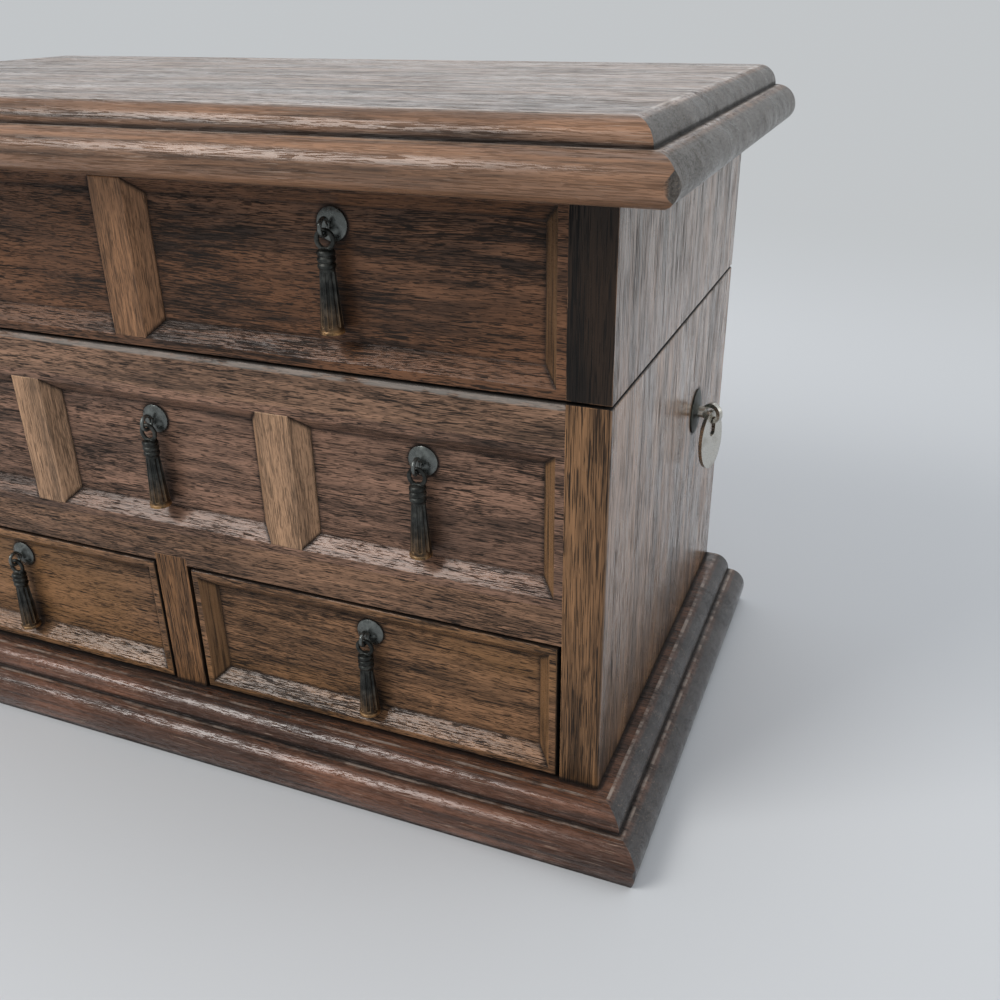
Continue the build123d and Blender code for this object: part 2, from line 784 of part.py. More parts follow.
def bedplate_casting():
    """The movement's bedplate with its three bearing plates and the comb's seat."""
    shaft_fit = drum_shaft_radius + running_clearance
    fly_fit = fly_shaft_radius + running_clearance
    fly_ear = fly_shaft_radius + bearing_plate
    drum_ear = drum_shaft_radius + bearing_plate
    with BuildPart() as piece:
        slab(
            (plate_inner_x, key_y - bedplate_front_reach, key_height - bedplate_half_height),
            (inner_side, key_y + bedplate_rear_reach, key_height + bedplate_half_height),
        )
        slab(
            (fly_x - fly_ear, front_bearing_y, key_height - drum_ear),
            (plate_inner_x, front_bearing_y + bearing_plate, fly_z + fly_ear),
        )
        slab(
            (drum_x - drum_ear, rear_bearing_y, key_height - drum_ear),
            (plate_inner_x, rear_bearing_y + bearing_plate, key_height + drum_ear),
        )
        slab(
            (fly_x - fly_ear, fly_bearing_y, fly_z - fly_ear),
            (plate_inner_x, fly_bearing_y + bearing_plate, fly_z + fly_ear),
        )
        slab(
            (comb_x + comb_thickness / 2, drum_start_y, comb_foot_z),
            (plate_inner_x, drum_end_y, comb_foot_z + comb_foot_height),
        )
        through_wall = (plate_inner_x - 1, key_y, key_height), (inner_side + 1, key_y, key_height)
        rod(*through_wall, key_shaft_radius + running_clearance, Mode.SUBTRACT)
        low_y, high_y = front_bearing_y - 1, rear_bearing_y + bearing_plate + 1
        rod((drum_x, low_y, key_height), (drum_x, high_y, key_height), shaft_fit, Mode.SUBTRACT)
        low_y, high_y = fly_bearing_y - 1, front_bearing_y + bearing_plate + 1
        rod((fly_x, low_y, fly_z), (fly_x, high_y, fly_z), fly_fit, Mode.SUBTRACT)
        for y, z in bedplate_screws():
            screw((plate_inner_x, y, z), (1, 0, 0), screw_clearance, Mode.SUBTRACT)
        for y, z in comb_screws():
            screw((comb_x - comb_thickness / 2, y, z), (1, 0, 0), screw_clearance, Mode.SUBTRACT)
    save(piece, "movement_bedplate")


def comb_screws():
    """Where the two screws stand in the comb's foot."""
    quarter = drum_length / 4
    return [(y, comb_foot_z + comb_foot_height / 2) for y in (drum_start_y + quarter, drum_end_y - quarter)]


def movement_screws():
    """The screws of the bedplate and of the comb."""
    with BuildPart() as piece:
        for y, z in bedplate_screws():
            screw((plate_inner_x, y, z), (1, 0, 0))
        for y, z in comb_screws():
            screw((comb_x - comb_thickness / 2, y, z), (1, 0, 0))
    save(piece, "movement_screws")


def comb():
    """The steel comb: one tooth for each note, tips just clear of the drum's pins."""
    middle_y = (drum_start_y + drum_end_y) / 2
    half = comb_teeth * comb_pitch / 2
    with BuildPart() as piece:
        slab(
            (comb_x - comb_thickness / 2, middle_y - half, comb_foot_z),
            (comb_x + comb_thickness / 2, middle_y + half, comb_tip_z),
        )
        with BuildSketch(Plane.XY.offset(comb_tip_z)):
            with Locations((comb_x, middle_y)):
                with GridLocations(comb_thickness, comb_pitch, 1, comb_teeth - 1):
                    Rectangle(2 * comb_thickness, comb_slot)
        extrude(amount=-comb_tooth_length, mode=Mode.SUBTRACT)
        for y, z in comb_screws():
            screw((comb_x - comb_thickness / 2, y, z), (1, 0, 0), screw_clearance, Mode.SUBTRACT)
    save(piece, "music_comb")


def toothed_ring(plane, count, root, tip, width, start_angle, thickness):
    """Straight teeth round a hub, from just inside its rim to their tips."""
    inner = root - width / 2
    with BuildSketch(plane) as section:
        Circle(root)
        with PolarLocations((inner + tip) / 2, count, start_angle=start_angle):
            Rectangle(tip - inner, width)
    extrude(section.sketch, amount=thickness)


def drum():
    """The pinned drum on its shaft, with the pinion at one end and the wheel at the other."""
    face = crown_face * 2
    pinion_y = key_y + crown_radius - face / 2
    toward_fly = degrees(atan2(key_height - fly_z, fly_x - drum_x))
    middle_y = (drum_start_y + drum_end_y) / 2
    with BuildPart() as piece:
        shaft_end = rear_bearing_y + bearing_plate
        rod((drum_x, pinion_y, key_height), (drum_x, shaft_end, key_height), drum_shaft_radius)
        rod((drum_x, drum_start_y, key_height), (drum_x, drum_end_y, key_height), drum_radius)
        pinion_plane = Plane(origin=(drum_x, pinion_y, key_height), x_dir=(1, 0, 0), z_dir=(0, 1, 0))
        pinion_tip = pinion_pitch_radius + tooth_under
        toothed_ring(pinion_plane, pinion_teeth, pinion_root, pinion_tip, pinion_tooth, 0, face)
        wheel_plane = Plane(origin=(drum_x, wheel_y, key_height), x_dir=(1, 0, 0), z_dir=(0, 1, 0))
        toothed_ring(
            wheel_plane,
            wheel_teeth,
            wheel_pitch_radius - wheel_tooth_below,
            wheel_pitch_radius + wheel_tooth_above,
            wheel_tooth,
            toward_fly + 180 / wheel_teeth,
            wheel_thickness,
        )
        for note in range(comb_teeth):
            y = middle_y + (note - (comb_teeth - 1) / 2) * comb_pitch
            for pin in range(pins_per_tooth):
                spread = pin * 360 / pins_per_tooth + pin * note * pin_turn_drift
                turn = radians(note * pin_turn_step + spread)
                out = Vector(cos(turn), 0, sin(turn))
                start = Vector(drum_x, y, key_height) + out * (drum_radius - drum_pin_height)
                with BuildSketch(Plane(origin=start, z_dir=out)):
                    Circle(drum_pin_radius)
        extrude(amount=2 * drum_pin_height)
    save(piece, "pinned_drum")


def spring_barrel():
    """The spring barrel, open inside for the mainspring, with the crown teeth on its inner cap."""
    centre = (key_y, key_height)
    crown_plane = Plane(origin=(barrel_inner_x, *centre), x_dir=(0, 1, 0), z_dir=(-1, 0, 0))
    with BuildPart() as piece:
        rod((barrel_inner_x, *centre), (barrel_outer_x, *centre), barrel_radius)
        hollow = (barrel_inner_x + barrel_wall, *centre), (barrel_outer_x - barrel_wall, *centre)
        rod(*hollow, barrel_radius - barrel_wall, Mode.SUBTRACT)
        mouth = (barrel_outer_x - 2 * barrel_wall, *centre), (barrel_outer_x + 1, *centre)
        rod(*mouth, key_shaft_radius + running_clearance, Mode.SUBTRACT)
        with BuildSketch(crown_plane):
            with PolarLocations(crown_radius, crown_teeth, start_angle=180 / crown_teeth):
                Rectangle(crown_face, crown_tooth)
        extrude(amount=crown_base_gap + tooth_under + tooth_above)
    save(piece, "spring_barrel")


def mainspring():
    """The flat spring wound in the barrel, as half circles about two centres in turn."""
    low_x = barrel_inner_x + 2 * barrel_wall
    spring_plane = Plane(origin=(low_x, key_y, key_height), x_dir=(0, 1, 0), z_dir=(1, 0, 0))
    with BuildPart() as piece:
        with BuildSketch(spring_plane):
            with BuildLine():
                for half in range(spring_half_turns):
                    centre_x = 0 if half % 2 == 0 else spring_pitch / 2
                    radius = spring_inner_radius + half * spring_pitch / 2
                    CenterArc((centre_x, 0), radius, 180 * (half % 2), 180)
            trace(line_width=spring_strip)
        extrude(amount=barrel_depth - 4 * barrel_wall)
    save(piece, "mainspring")


def air_brake_fly():
    """The fly that holds the speed: a thin blade on a shaft, with the pinion that the drum's wheel turns."""
    toward_drum = degrees(atan2(fly_z - key_height, drum_x - fly_x))
    with BuildPart() as piece:
        rod((fly_x, fly_bearing_y, fly_z), (fly_x, wheel_y + wheel_thickness, fly_z), fly_shaft_radius)
        slab(
            (fly_x - fly_radius, fly_start_y, fly_z - fly_blade / 2),
            (fly_x + fly_radius, fly_start_y + fly_length, fly_z + fly_blade / 2),
        )
        pinion_plane = Plane(origin=(fly_x, wheel_y, fly_z), x_dir=(1, 0, 0), z_dir=(0, 1, 0))
        toothed_ring(
            pinion_plane,
            fly_teeth,
            fly_pitch_radius - wheel_tooth_below,
            fly_pitch_radius + wheel_tooth_above,
            wheel_tooth,
            toward_drum,
            wheel_thickness,
        )
    save(piece, "air_brake_fly")


def stop_wire():
    """The wire that the lid presses down: its foot is over the fly, its head lies over the side's groove."""
    points = [
        (fly_x + 1, stop_low_z),
        (stop_x, stop_low_z),
        (stop_x, stop_top_z),
        (inner_side + stop_wire_reach, stop_top_z),
    ]
    wire_plane = Plane(origin=(0, stop_y, 0), x_dir=(1, 0, 0), z_dir=(0, -1, 0))
    with BuildPart() as piece:
        with BuildLine(wire_plane):
            FilletPolyline(*points, radius=stop_wire_bend)
        with BuildSketch(Plane(origin=(points[0][0], stop_y, points[0][1]), z_dir=(1, 0, 0))):
            Circle(stop_wire_radius)
        sweep()
    save(piece, "stop_wire")


def music_cover():
    """The clear cover over the music bay, with the hole that the stop wire rises through."""
    with BuildPart() as piece:
        slab(
            (music_wall_x, divider_front, divider_top),
            (inner_side - lining_gap, inner_back - lining_gap, divider_top + cover_thickness),
        )
        rod(
            (stop_x, stop_y, divider_top - 1),
            (stop_x, stop_y, divider_top + cover_thickness + 1),
            cover_hole_radius,
            Mode.SUBTRACT,
        )
    save(piece, "music_cover")


os.makedirs("parts", exist_ok=True)

# Case
routed_board(
    "base_board",
    0,
    base_height,
    base_round_height,
    base_bulge_height,
    base_under_radius,
    base_corner_round,
)
case_side("left_side_board", -1)
case_side("right_side_board", 1)
back_panel("back_board", base_height, case_top, case_top, -1)
rails()
sunk_front(
    "middle_panel",
    panel_bottom,
    panel_top,
    middle_panel_middle,
    middle_recess_height,
    (-middle_pull_x, 0, middle_pull_x),
    middle_pull_z,
)
upright_blocks("middle_blocks", (-block_x, block_x), middle_panel_middle, middle_recess_height)
plain_board(
    "divider_post",
    (-post_side, front, base_height),
    (post_side, inner_front, rail_bottom + post_notch),
)
plain_board(
    "drawer_partition",
    (-partition / 2, inner_front, base_height),
    (partition / 2, inner_back, tray_bottom),
)
tray()
tray_lining()
ring_rolls()

# Lid
routed_board(
    "lid_board",
    lid_board_bottom,
    overall_height,
    lid_round_height,
    lid_bulge_height,
    lid_under_radius,
    lid_corner_round,
)
sunk_front(
    "lid_front_panel",
    lid_bottom,
    lid_board_bottom,
    lid_panel_middle,
    lid_recess_height,
    (-lid_pull_x, lid_pull_x),
    lid_pull_z,
)
upright_blocks("lid_block", (0,), lid_panel_middle, lid_recess_height)
for name, low_x in (("lid_left_side", -side), ("lid_right_side", inner_side)):
    plain_board(name, (low_x, front, lid_bottom), (low_x + board, back, lid_board_bottom))
back_panel("lid_back_board", lid_bottom, lid_board_bottom, lid_bottom, 1)
mirror()

# Hinges
hinge_leaves("hinge_body_leaves", case_top, -1, inner_knuckle=False)
hinge_leaves("hinge_lid_leaves", lid_bottom, 1, inner_knuckle=True)
hinge_pins()
hinge_screws("hinge_body_screws", case_top, -1)
hinge_screws("hinge_lid_screws", lid_bottom, 1)

# Drawers
drawer("left", -1)
drawer("right", 1)

# Pulls
pull_mounts("lid_pull_mounts", [(-lid_pull_x, lid_pull_z), (lid_pull_x, lid_pull_z)])
pull_mounts("middle_pull_mounts", [(x, middle_pull_z) for x in (-middle_pull_x, 0, middle_pull_x)])
pull_mounts("left_drawer_pull_mount", [(-drawer_pull_x, drawer_pull_z)])
pull_mounts("right_drawer_pull_mount", [(drawer_pull_x, drawer_pull_z)])
drop("lid_left_pull", -lid_pull_x, lid_pull_z)
drop("lid_right_pull", lid_pull_x, lid_pull_z)
drop("middle_left_pull", -middle_pull_x, middle_pull_z)
drop("middle_centre_pull", 0, middle_pull_z)
drop("middle_right_pull", middle_pull_x, middle_pull_z)
drop("left_drawer_pull", -drawer_pull_x, drawer_pull_z)
drop("right_drawer_pull", drawer_pull_x, drawer_pull_z)

# Music movement and its key
key_plate()
winding_key()
bedplate_casting()
movement_screws()
comb()
drum()
spring_barrel()
mainspring()
air_brake_fly()
stop_wire()
music_cover()
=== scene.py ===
from math import cos, pi, sin, sqrt

import bmesh
import bpy
from mathutils import Matrix, Vector


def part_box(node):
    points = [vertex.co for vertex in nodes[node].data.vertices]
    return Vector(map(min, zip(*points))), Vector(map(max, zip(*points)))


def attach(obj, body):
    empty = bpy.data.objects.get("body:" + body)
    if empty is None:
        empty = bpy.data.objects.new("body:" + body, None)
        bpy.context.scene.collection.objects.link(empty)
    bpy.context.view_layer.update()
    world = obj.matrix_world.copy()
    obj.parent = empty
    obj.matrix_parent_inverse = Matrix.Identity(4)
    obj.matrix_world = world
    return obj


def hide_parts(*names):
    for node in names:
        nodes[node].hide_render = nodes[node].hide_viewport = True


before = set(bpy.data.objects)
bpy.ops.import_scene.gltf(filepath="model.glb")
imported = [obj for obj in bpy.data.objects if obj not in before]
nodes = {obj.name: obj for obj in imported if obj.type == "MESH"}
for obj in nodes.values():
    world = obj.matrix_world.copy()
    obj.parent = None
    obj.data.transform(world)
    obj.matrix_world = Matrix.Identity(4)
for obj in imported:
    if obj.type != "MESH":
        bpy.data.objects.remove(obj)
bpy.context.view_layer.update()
scene = bpy.context.scene


# Node building


class Graph:
    """A material's node tree with short ways to add and join nodes."""

    def __init__(self, name):
        self.material = bpy.data.materials.new(name)
        self.material.use_nodes = True
        self.tree = self.material.node_tree
        self.tree.nodes.clear()
        self.output = self.tree.nodes.new("ShaderNodeOutputMaterial")
        self.shader = self.tree.nodes.new("ShaderNodeBsdfPrincipled")
        self.tree.links.new(self.shader.outputs["BSDF"], self.output.inputs["Surface"])
        self.texture_space = self.tree.nodes.new("ShaderNodeTexCoord")

    def put(self, value, socket):
        """Sets a socket to a number or colour, or links another socket to it."""
        if isinstance(value, bpy.types.NodeSocket):
            self.tree.links.new(value, socket)
        elif value is not None:
            socket.default_value = value

    def node(self, kind, inputs=None, **settings):
        made = self.tree.nodes.new(kind)
        for key, value in settings.items():
            setattr(made, key, value)
        for key, value in (inputs or {}).items():
            self.put(value, made.inputs[key])
        return made

    def place(self):
        """The surface's place in the frame, in metres."""
        return self.texture_space.outputs["Object"]

    def height(self):
        """The surface's height in the frame."""
        return self.node("ShaderNodeSeparateXYZ", {"Vector": self.place()}).outputs["Z"]

    def math(self, operation, a, b=None, c=None, clamp=False):
        made = self.node("ShaderNodeMath", operation=operation, use_clamp=clamp)
        for value, socket in zip((a, b, c), made.inputs):
            self.put(value, socket)
        return made.outputs[0]

    def vector(self, operation, a, b=None):
        made = self.node("ShaderNodeVectorMath", operation=operation)
        self.put(a, made.inputs[0])
        self.put(b, made.inputs[1])
        one_number = operation in ("DOT_PRODUCT", "LENGTH")
        return made.outputs["Value" if one_number else "Vector"]

    def scaled(self, place, scale, shift=(0, 0, 0)):
        made = self.node("ShaderNodeMapping", {"Vector": place, "Scale": scale, "Location": shift})
        return made.outputs["Vector"]

    def noise(self, place, scale=1.0, detail=2.0, rough=0.5, distortion=0.0):
        made = self.node(
            "ShaderNodeTexNoise",
            {
                "Vector": place,
                "Scale": scale,
                "Detail": detail,
                "Roughness": rough,
                "Distortion": distortion,
            },
        )
        return made.outputs["Fac"]

    def clouds(self, scale, detail=2.0, rough=0.5):
        """Noise of one scale in all directions."""
        return self.noise(self.scaled(self.place(), (scale,) * 3), detail=detail, rough=rough)

    def spread(self, value, low, high, out_low=0.0, out_high=1.0, smooth=True):
        """Maps low..high to out_low..out_high, held at both ends."""
        made = self.node(
            "ShaderNodeMapRange",
            {
                "Value": value,
                "From Min": low,
                "From Max": high,
                "To Min": out_low,
                "To Max": out_high,
            },
            interpolation_type="SMOOTHSTEP" if smooth else "LINEAR",
        )
        return made.outputs["Result"]

    def ramp(self, value, stops):
        """A colour ramp from (place, colour) pairs."""
        made = self.node("ShaderNodeValToRGB", {"Fac": value})
        ramp = made.color_ramp
        while len(ramp.elements) < len(stops):
            ramp.elements.new(0.5)
        for element, (position, colour) in zip(ramp.elements, stops):
            element.position = position
            element.color = (*colour, 1)
        return made.outputs["Color"]

    def mix(self, amount, a, b, blend="MIX"):
        made = self.node("ShaderNodeMix", data_type="RGBA", blend_type=blend, clamp_factor=True)
        self.put(amount, made.inputs["Factor"])
        for value, socket in ((a, made.inputs[6]), (b, made.inputs[7])):
            self.put((*value, 1) if isinstance(value, tuple) else value, socket)
        return made.outputs[2]

    def bump(self, height, distance, strength=1.0, normal=None):
        made = self.node(
            "ShaderNodeBump",
            {"Height": height, "Distance": distance, "Strength": strength, "Normal": normal},
        )
        return made.outputs["Normal"]

    def rounded(self, radius):
        """The normal with sharp edges rounded off."""
        return self.node("ShaderNodeBevel", {"Radius": radius}, samples=6).outputs["Normal"]

    def edges(self, radius):
        """0 on flat surfaces, rising to 1 along edges, and the rounded normal."""
        soft_normal = self.rounded(radius)
        flat = self.node("ShaderNodeNewGeometry").outputs["Normal"]
        turned = self.vector("DOT_PRODUCT", soft_normal, flat)
        return self.spread(turned, 0.99, 0.75, smooth=False), soft_normal

    def crevice(self, distance):
        """1 in the open, falling towards 0 where surfaces meet."""
        made = self.node("ShaderNodeAmbientOcclusion", {"Distance": distance}, samples=8)
        return made.outputs["AO"]

    def towards(self, direction):
        """1 where the surface faces a direction of the frame, -1 where it faces away."""
        return self.vector("DOT_PRODUCT", self.texture_space.outputs["Normal"], direction)

    def facing(self, axis):
        """How far the surface faces along an axis of the frame, either way."""
        return self.math("ABSOLUTE", self.towards(axis))

    def set(self, **values):
        names = {
            "colour": "Base Color",
            "rough": "Roughness",
            "metal": "Metallic",
            "normal": "Normal",
            "specular": "Specular IOR Level",
            "coat": "Coat Weight",
            "coat_rough": "Coat Roughness",
            "coat_normal": "Coat Normal",
            "sheen": "Sheen Weight",
            "sheen_rough": "Sheen Roughness",
            "ior": "IOR",
            "transmission": "Transmission Weight",
            "alpha": "Alpha",
        }
        for key, value in values.items():
            if key == "colour" and isinstance(value, tuple):
                value = (*value, 1)
            self.put(value, self.shader.inputs[names[key]])
        return self.material


AXES = {"X": (1, 0, 0), "Y": (0, 1, 0), "Z": (0, 0, 1)}
FRONT = (0, -1, 0)


def along(axis, run, across):
    """Scale for a texture stretched along one axis."""
    return tuple(run if step else across for step in AXES[axis])


def stretched(axis, run, scale):
    """The scale for a texture along one axis, its length divided by run."""
    return along(axis, scale[0] * run, scale[1])


def times(colour, share):
    return tuple(min(1.0, c * share) for c in colour)


# Noise scales per metre, along and across the grain
SWAY = (11, 42)
BANDS = (11, 150)
LINES = (50, 850)
FIBRES = (170, 3600)
GLOW = (15, 34)
CLUSTERS = (14, 50)
PORE_SHARE = (30, 300)
FINE_PORES = (400, 5200)
LONG_PORES = (170, 3500)
BEVEL_GRAIN = (45, 1400)
MOULDED_STREAKS = (16, 520)
WORN_PATCHES = (90, 260)
SCRATCHES = (120, 4200)
WAVES = (38, 130)
HANDLED = (30, 60)

# Lengths in metres
SWAY_REACH = 0.004
WOOD_EDGE = 0.00035
CREASE_REACH = 0.0012
# How far the grime and painted shade reach out of a wood's hollows
GRIME_AND_SHADE_REACH = 0.0045
STRIP_LOW = 0.0017
STRIP_FULL = 0.0011
WOOD_RELIEF = 0.0004

BLACK_BROWN = (0.01, 0.0065, 0.0045)
# The tone of the grime and painted shade in a wood's hollows and creases
GRIME_AND_SHADE_TONE = (0.007, 0.0055, 0.005)
# A pale line at a moulding's lip: wear and a painted highlight
LIP_WEAR_AND_HIGHLIGHT = (0.36, 0.29, 0.24)
SCORED = (0.42, 0.3, 0.22)
WORN_STRIP = (0.3, 0.27, 0.24)


def swayed_place(g, moved, axis, run):
    """The place pushed a little to and fro, so that the grain doesn't run dead straight."""
    slow = g.scaled(moved, along(axis, *SWAY))
    sway = g.node("ShaderNodeTexNoise", {"Vector": slow, "Scale": 1.0, "Detail": 2.0})
    swayed = g.node("ShaderNodeVectorMath", operation="MULTIPLY_ADD")
    g.put(sway.outputs["Color"], swayed.inputs[0])
    swayed.inputs[1].default_value = (SWAY_REACH * run,) * 3
    g.put(moved, swayed.inputs[2])
    return swayed.outputs["Vector"]


def ground_wood(g, place, lines, axis, run, middle, spread):
    """The wood between its pores: wide bands, lines and fine fibres."""
    bands = g.noise(g.scaled(place, along(axis, *BANDS)), detail=4.0, rough=0.62)
    fibres = g.noise(g.scaled(place, stretched(axis, run, FIBRES)), detail=2.0, rough=0.65)
    tone = g.math("MULTIPLY_ADD", bands, 0.44, g.math("MULTIPLY", lines, 0.24))
    tone = g.math("MULTIPLY_ADD", fibres, 0.32, tone)
    tone = g.spread(tone, 0.425, 0.575, smooth=False)
    dark, light = times(middle, spread[0]), times(middle, spread[1])
    return g.ramp(tone, [(0.0, dark), (0.5, middle), (1.0, light)])


def open_pores(g, place, smoky, axis, run, amount):
    """1 in the open pores, which crowd together in the smoky clusters."""
    share = g.noise(g.scaled(place, along(axis, *PORE_SHARE)), detail=2.0, rough=0.5)
    limit = g.math("MULTIPLY_ADD", smoky, -0.05, g.spread(share, 0.32, 0.68, 0.045, -0.03))
    fine = g.noise(g.scaled(place, stretched(axis, run, FINE_PORES)), detail=1.0, rough=0.5)
    fine = g.spread(g.math("SUBTRACT", fine, limit), 0.57, 0.62)
    long_pores = g.noise(g.scaled(place, stretched(axis, run, LONG_PORES)), detail=1.0, rough=0.5)
    long_pores = g.spread(g.math("SUBTRACT", long_pores, limit), 0.615, 0.65)
    both = g.math("MAXIMUM", g.math("MULTIPLY", fine, 0.8), long_pores)
    return g.math("MULTIPLY", both, amount, clamp=True)


def end_grain(g, moved, axis, end_colour, end_dark):
    """Cut ends: a close speckle with darker rays."""
    spots = g.noise(g.scaled(moved, (2300, 2300, 2300)), detail=3.0, rough=0.6)
    ray_scale = (1300, 1300, 3600) if axis == "Z" else (1300, 3600, 1300)
    rays = g.noise(g.scaled(moved, ray_scale), detail=2.0)
    tone = g.mix(g.spread(spots, 0.36, 0.64), times(end_colour, end_dark), end_colour)
    ray_depth = g.math("MULTIPLY", g.spread(rays, 0.56, 0.6), 1 - end_dark)
    return g.mix(ray_depth, tone, BLACK_BROWN)


def with_side_bevels(g, colour, moved, bevel):
    """The bevels at the ends of a sunk field show upright grain."""
    sideways = g.facing(AXES["X"])
    where = g.math("MULTIPLY", g.spread(sideways, 0.35, 0.55), g.spread(sideways, 0.95, 0.85))
    upright = g.noise(g.scaled(moved, along("Z", *BEVEL_GRAIN)), detail=4.0, rough=0.7)
    tone = g.spread(upright, 0.38, 0.62, smooth=False)
    wood = g.ramp(tone, [(0.0, times(bevel, 0.3)), (0.45, bevel), (1.0, times(bevel, 1.35))])
    return g.mix(g.math("MULTIPLY", where, 0.9), colour, wood)


def with_moulding(g, colour, moved, axis, moulding, end, pore, smoky):
    """Routed edges are closed and polished, with long soft streaks and few pores."""
    turned = g.spread(g.facing(AXES["Z"]), 0.99, 0.9)
    turned = g.math("MULTIPLY", turned, g.math("SUBTRACT", 1.0, end))
    long_streaks = g.noise(g.scaled(moved, along(axis, *MOULDED_STREAKS)), detail=5.0, rough=0.65)
    closed = g.ramp(
        g.spread(long_streaks, 0.36, 0.64, smooth=False),
        [(0.0, times(moulding, 0.28)), (0.4, times(moulding, 0.85)), (1.0, times(moulding, 1.5))],
    )
    closed = g.mix(g.math("MULTIPLY", pore, 0.3), closed, BLACK_BROWN)
    closed = g.mix(g.math("MULTIPLY", smoky, 0.75), closed, times(moulding, 0.1))
    return g.mix(g.math("MULTIPLY", turned, 0.92), colour, closed)


def with_lip_wear_and_highlight(g, colour, worn_at):
    """A pale line where the flat top of a board turns into its routed edge: wear and a painted
    highlight.
    """
    level = g.facing(AXES["Z"])
    lip = g.math("MULTIPLY", g.spread(level, 0.9995, 0.996), g.spread(level, 0.97, 0.985))
    lip = g.math("MULTIPLY", lip, g.spread(worn_at, 0.44, 0.6, 0.1, 0.8))
    return g.mix(lip, colour, LIP_WEAR_AND_HIGHLIGHT)


def with_scratches(g, colour, moved, worn_at, axis, amount):
    """Fine pale scratches on the worn patches."""
    scored = g.noise(g.scaled(moved, along(axis, *SCRATCHES)), detail=1.0)
    scored = g.math("MULTIPLY", g.spread(scored, 0.64, 0.68), g.spread(worn_at, 0.46, 0.58))
    return g.mix(g.math("MULTIPLY", scored, amount), colour, SCORED)


def with_worn_strip(g, colour, worn_at, top):
    """A rubbed pale strip along the top edge."""
    strip = g.spread(g.height(), top - STRIP_LOW, top - STRIP_FULL)
    strip = g.math("MULTIPLY", strip, g.spread(worn_at, 0.36, 0.54))
    return g.mix(g.math("MULTIPLY", strip, 0.75), colour, WORN_STRIP)


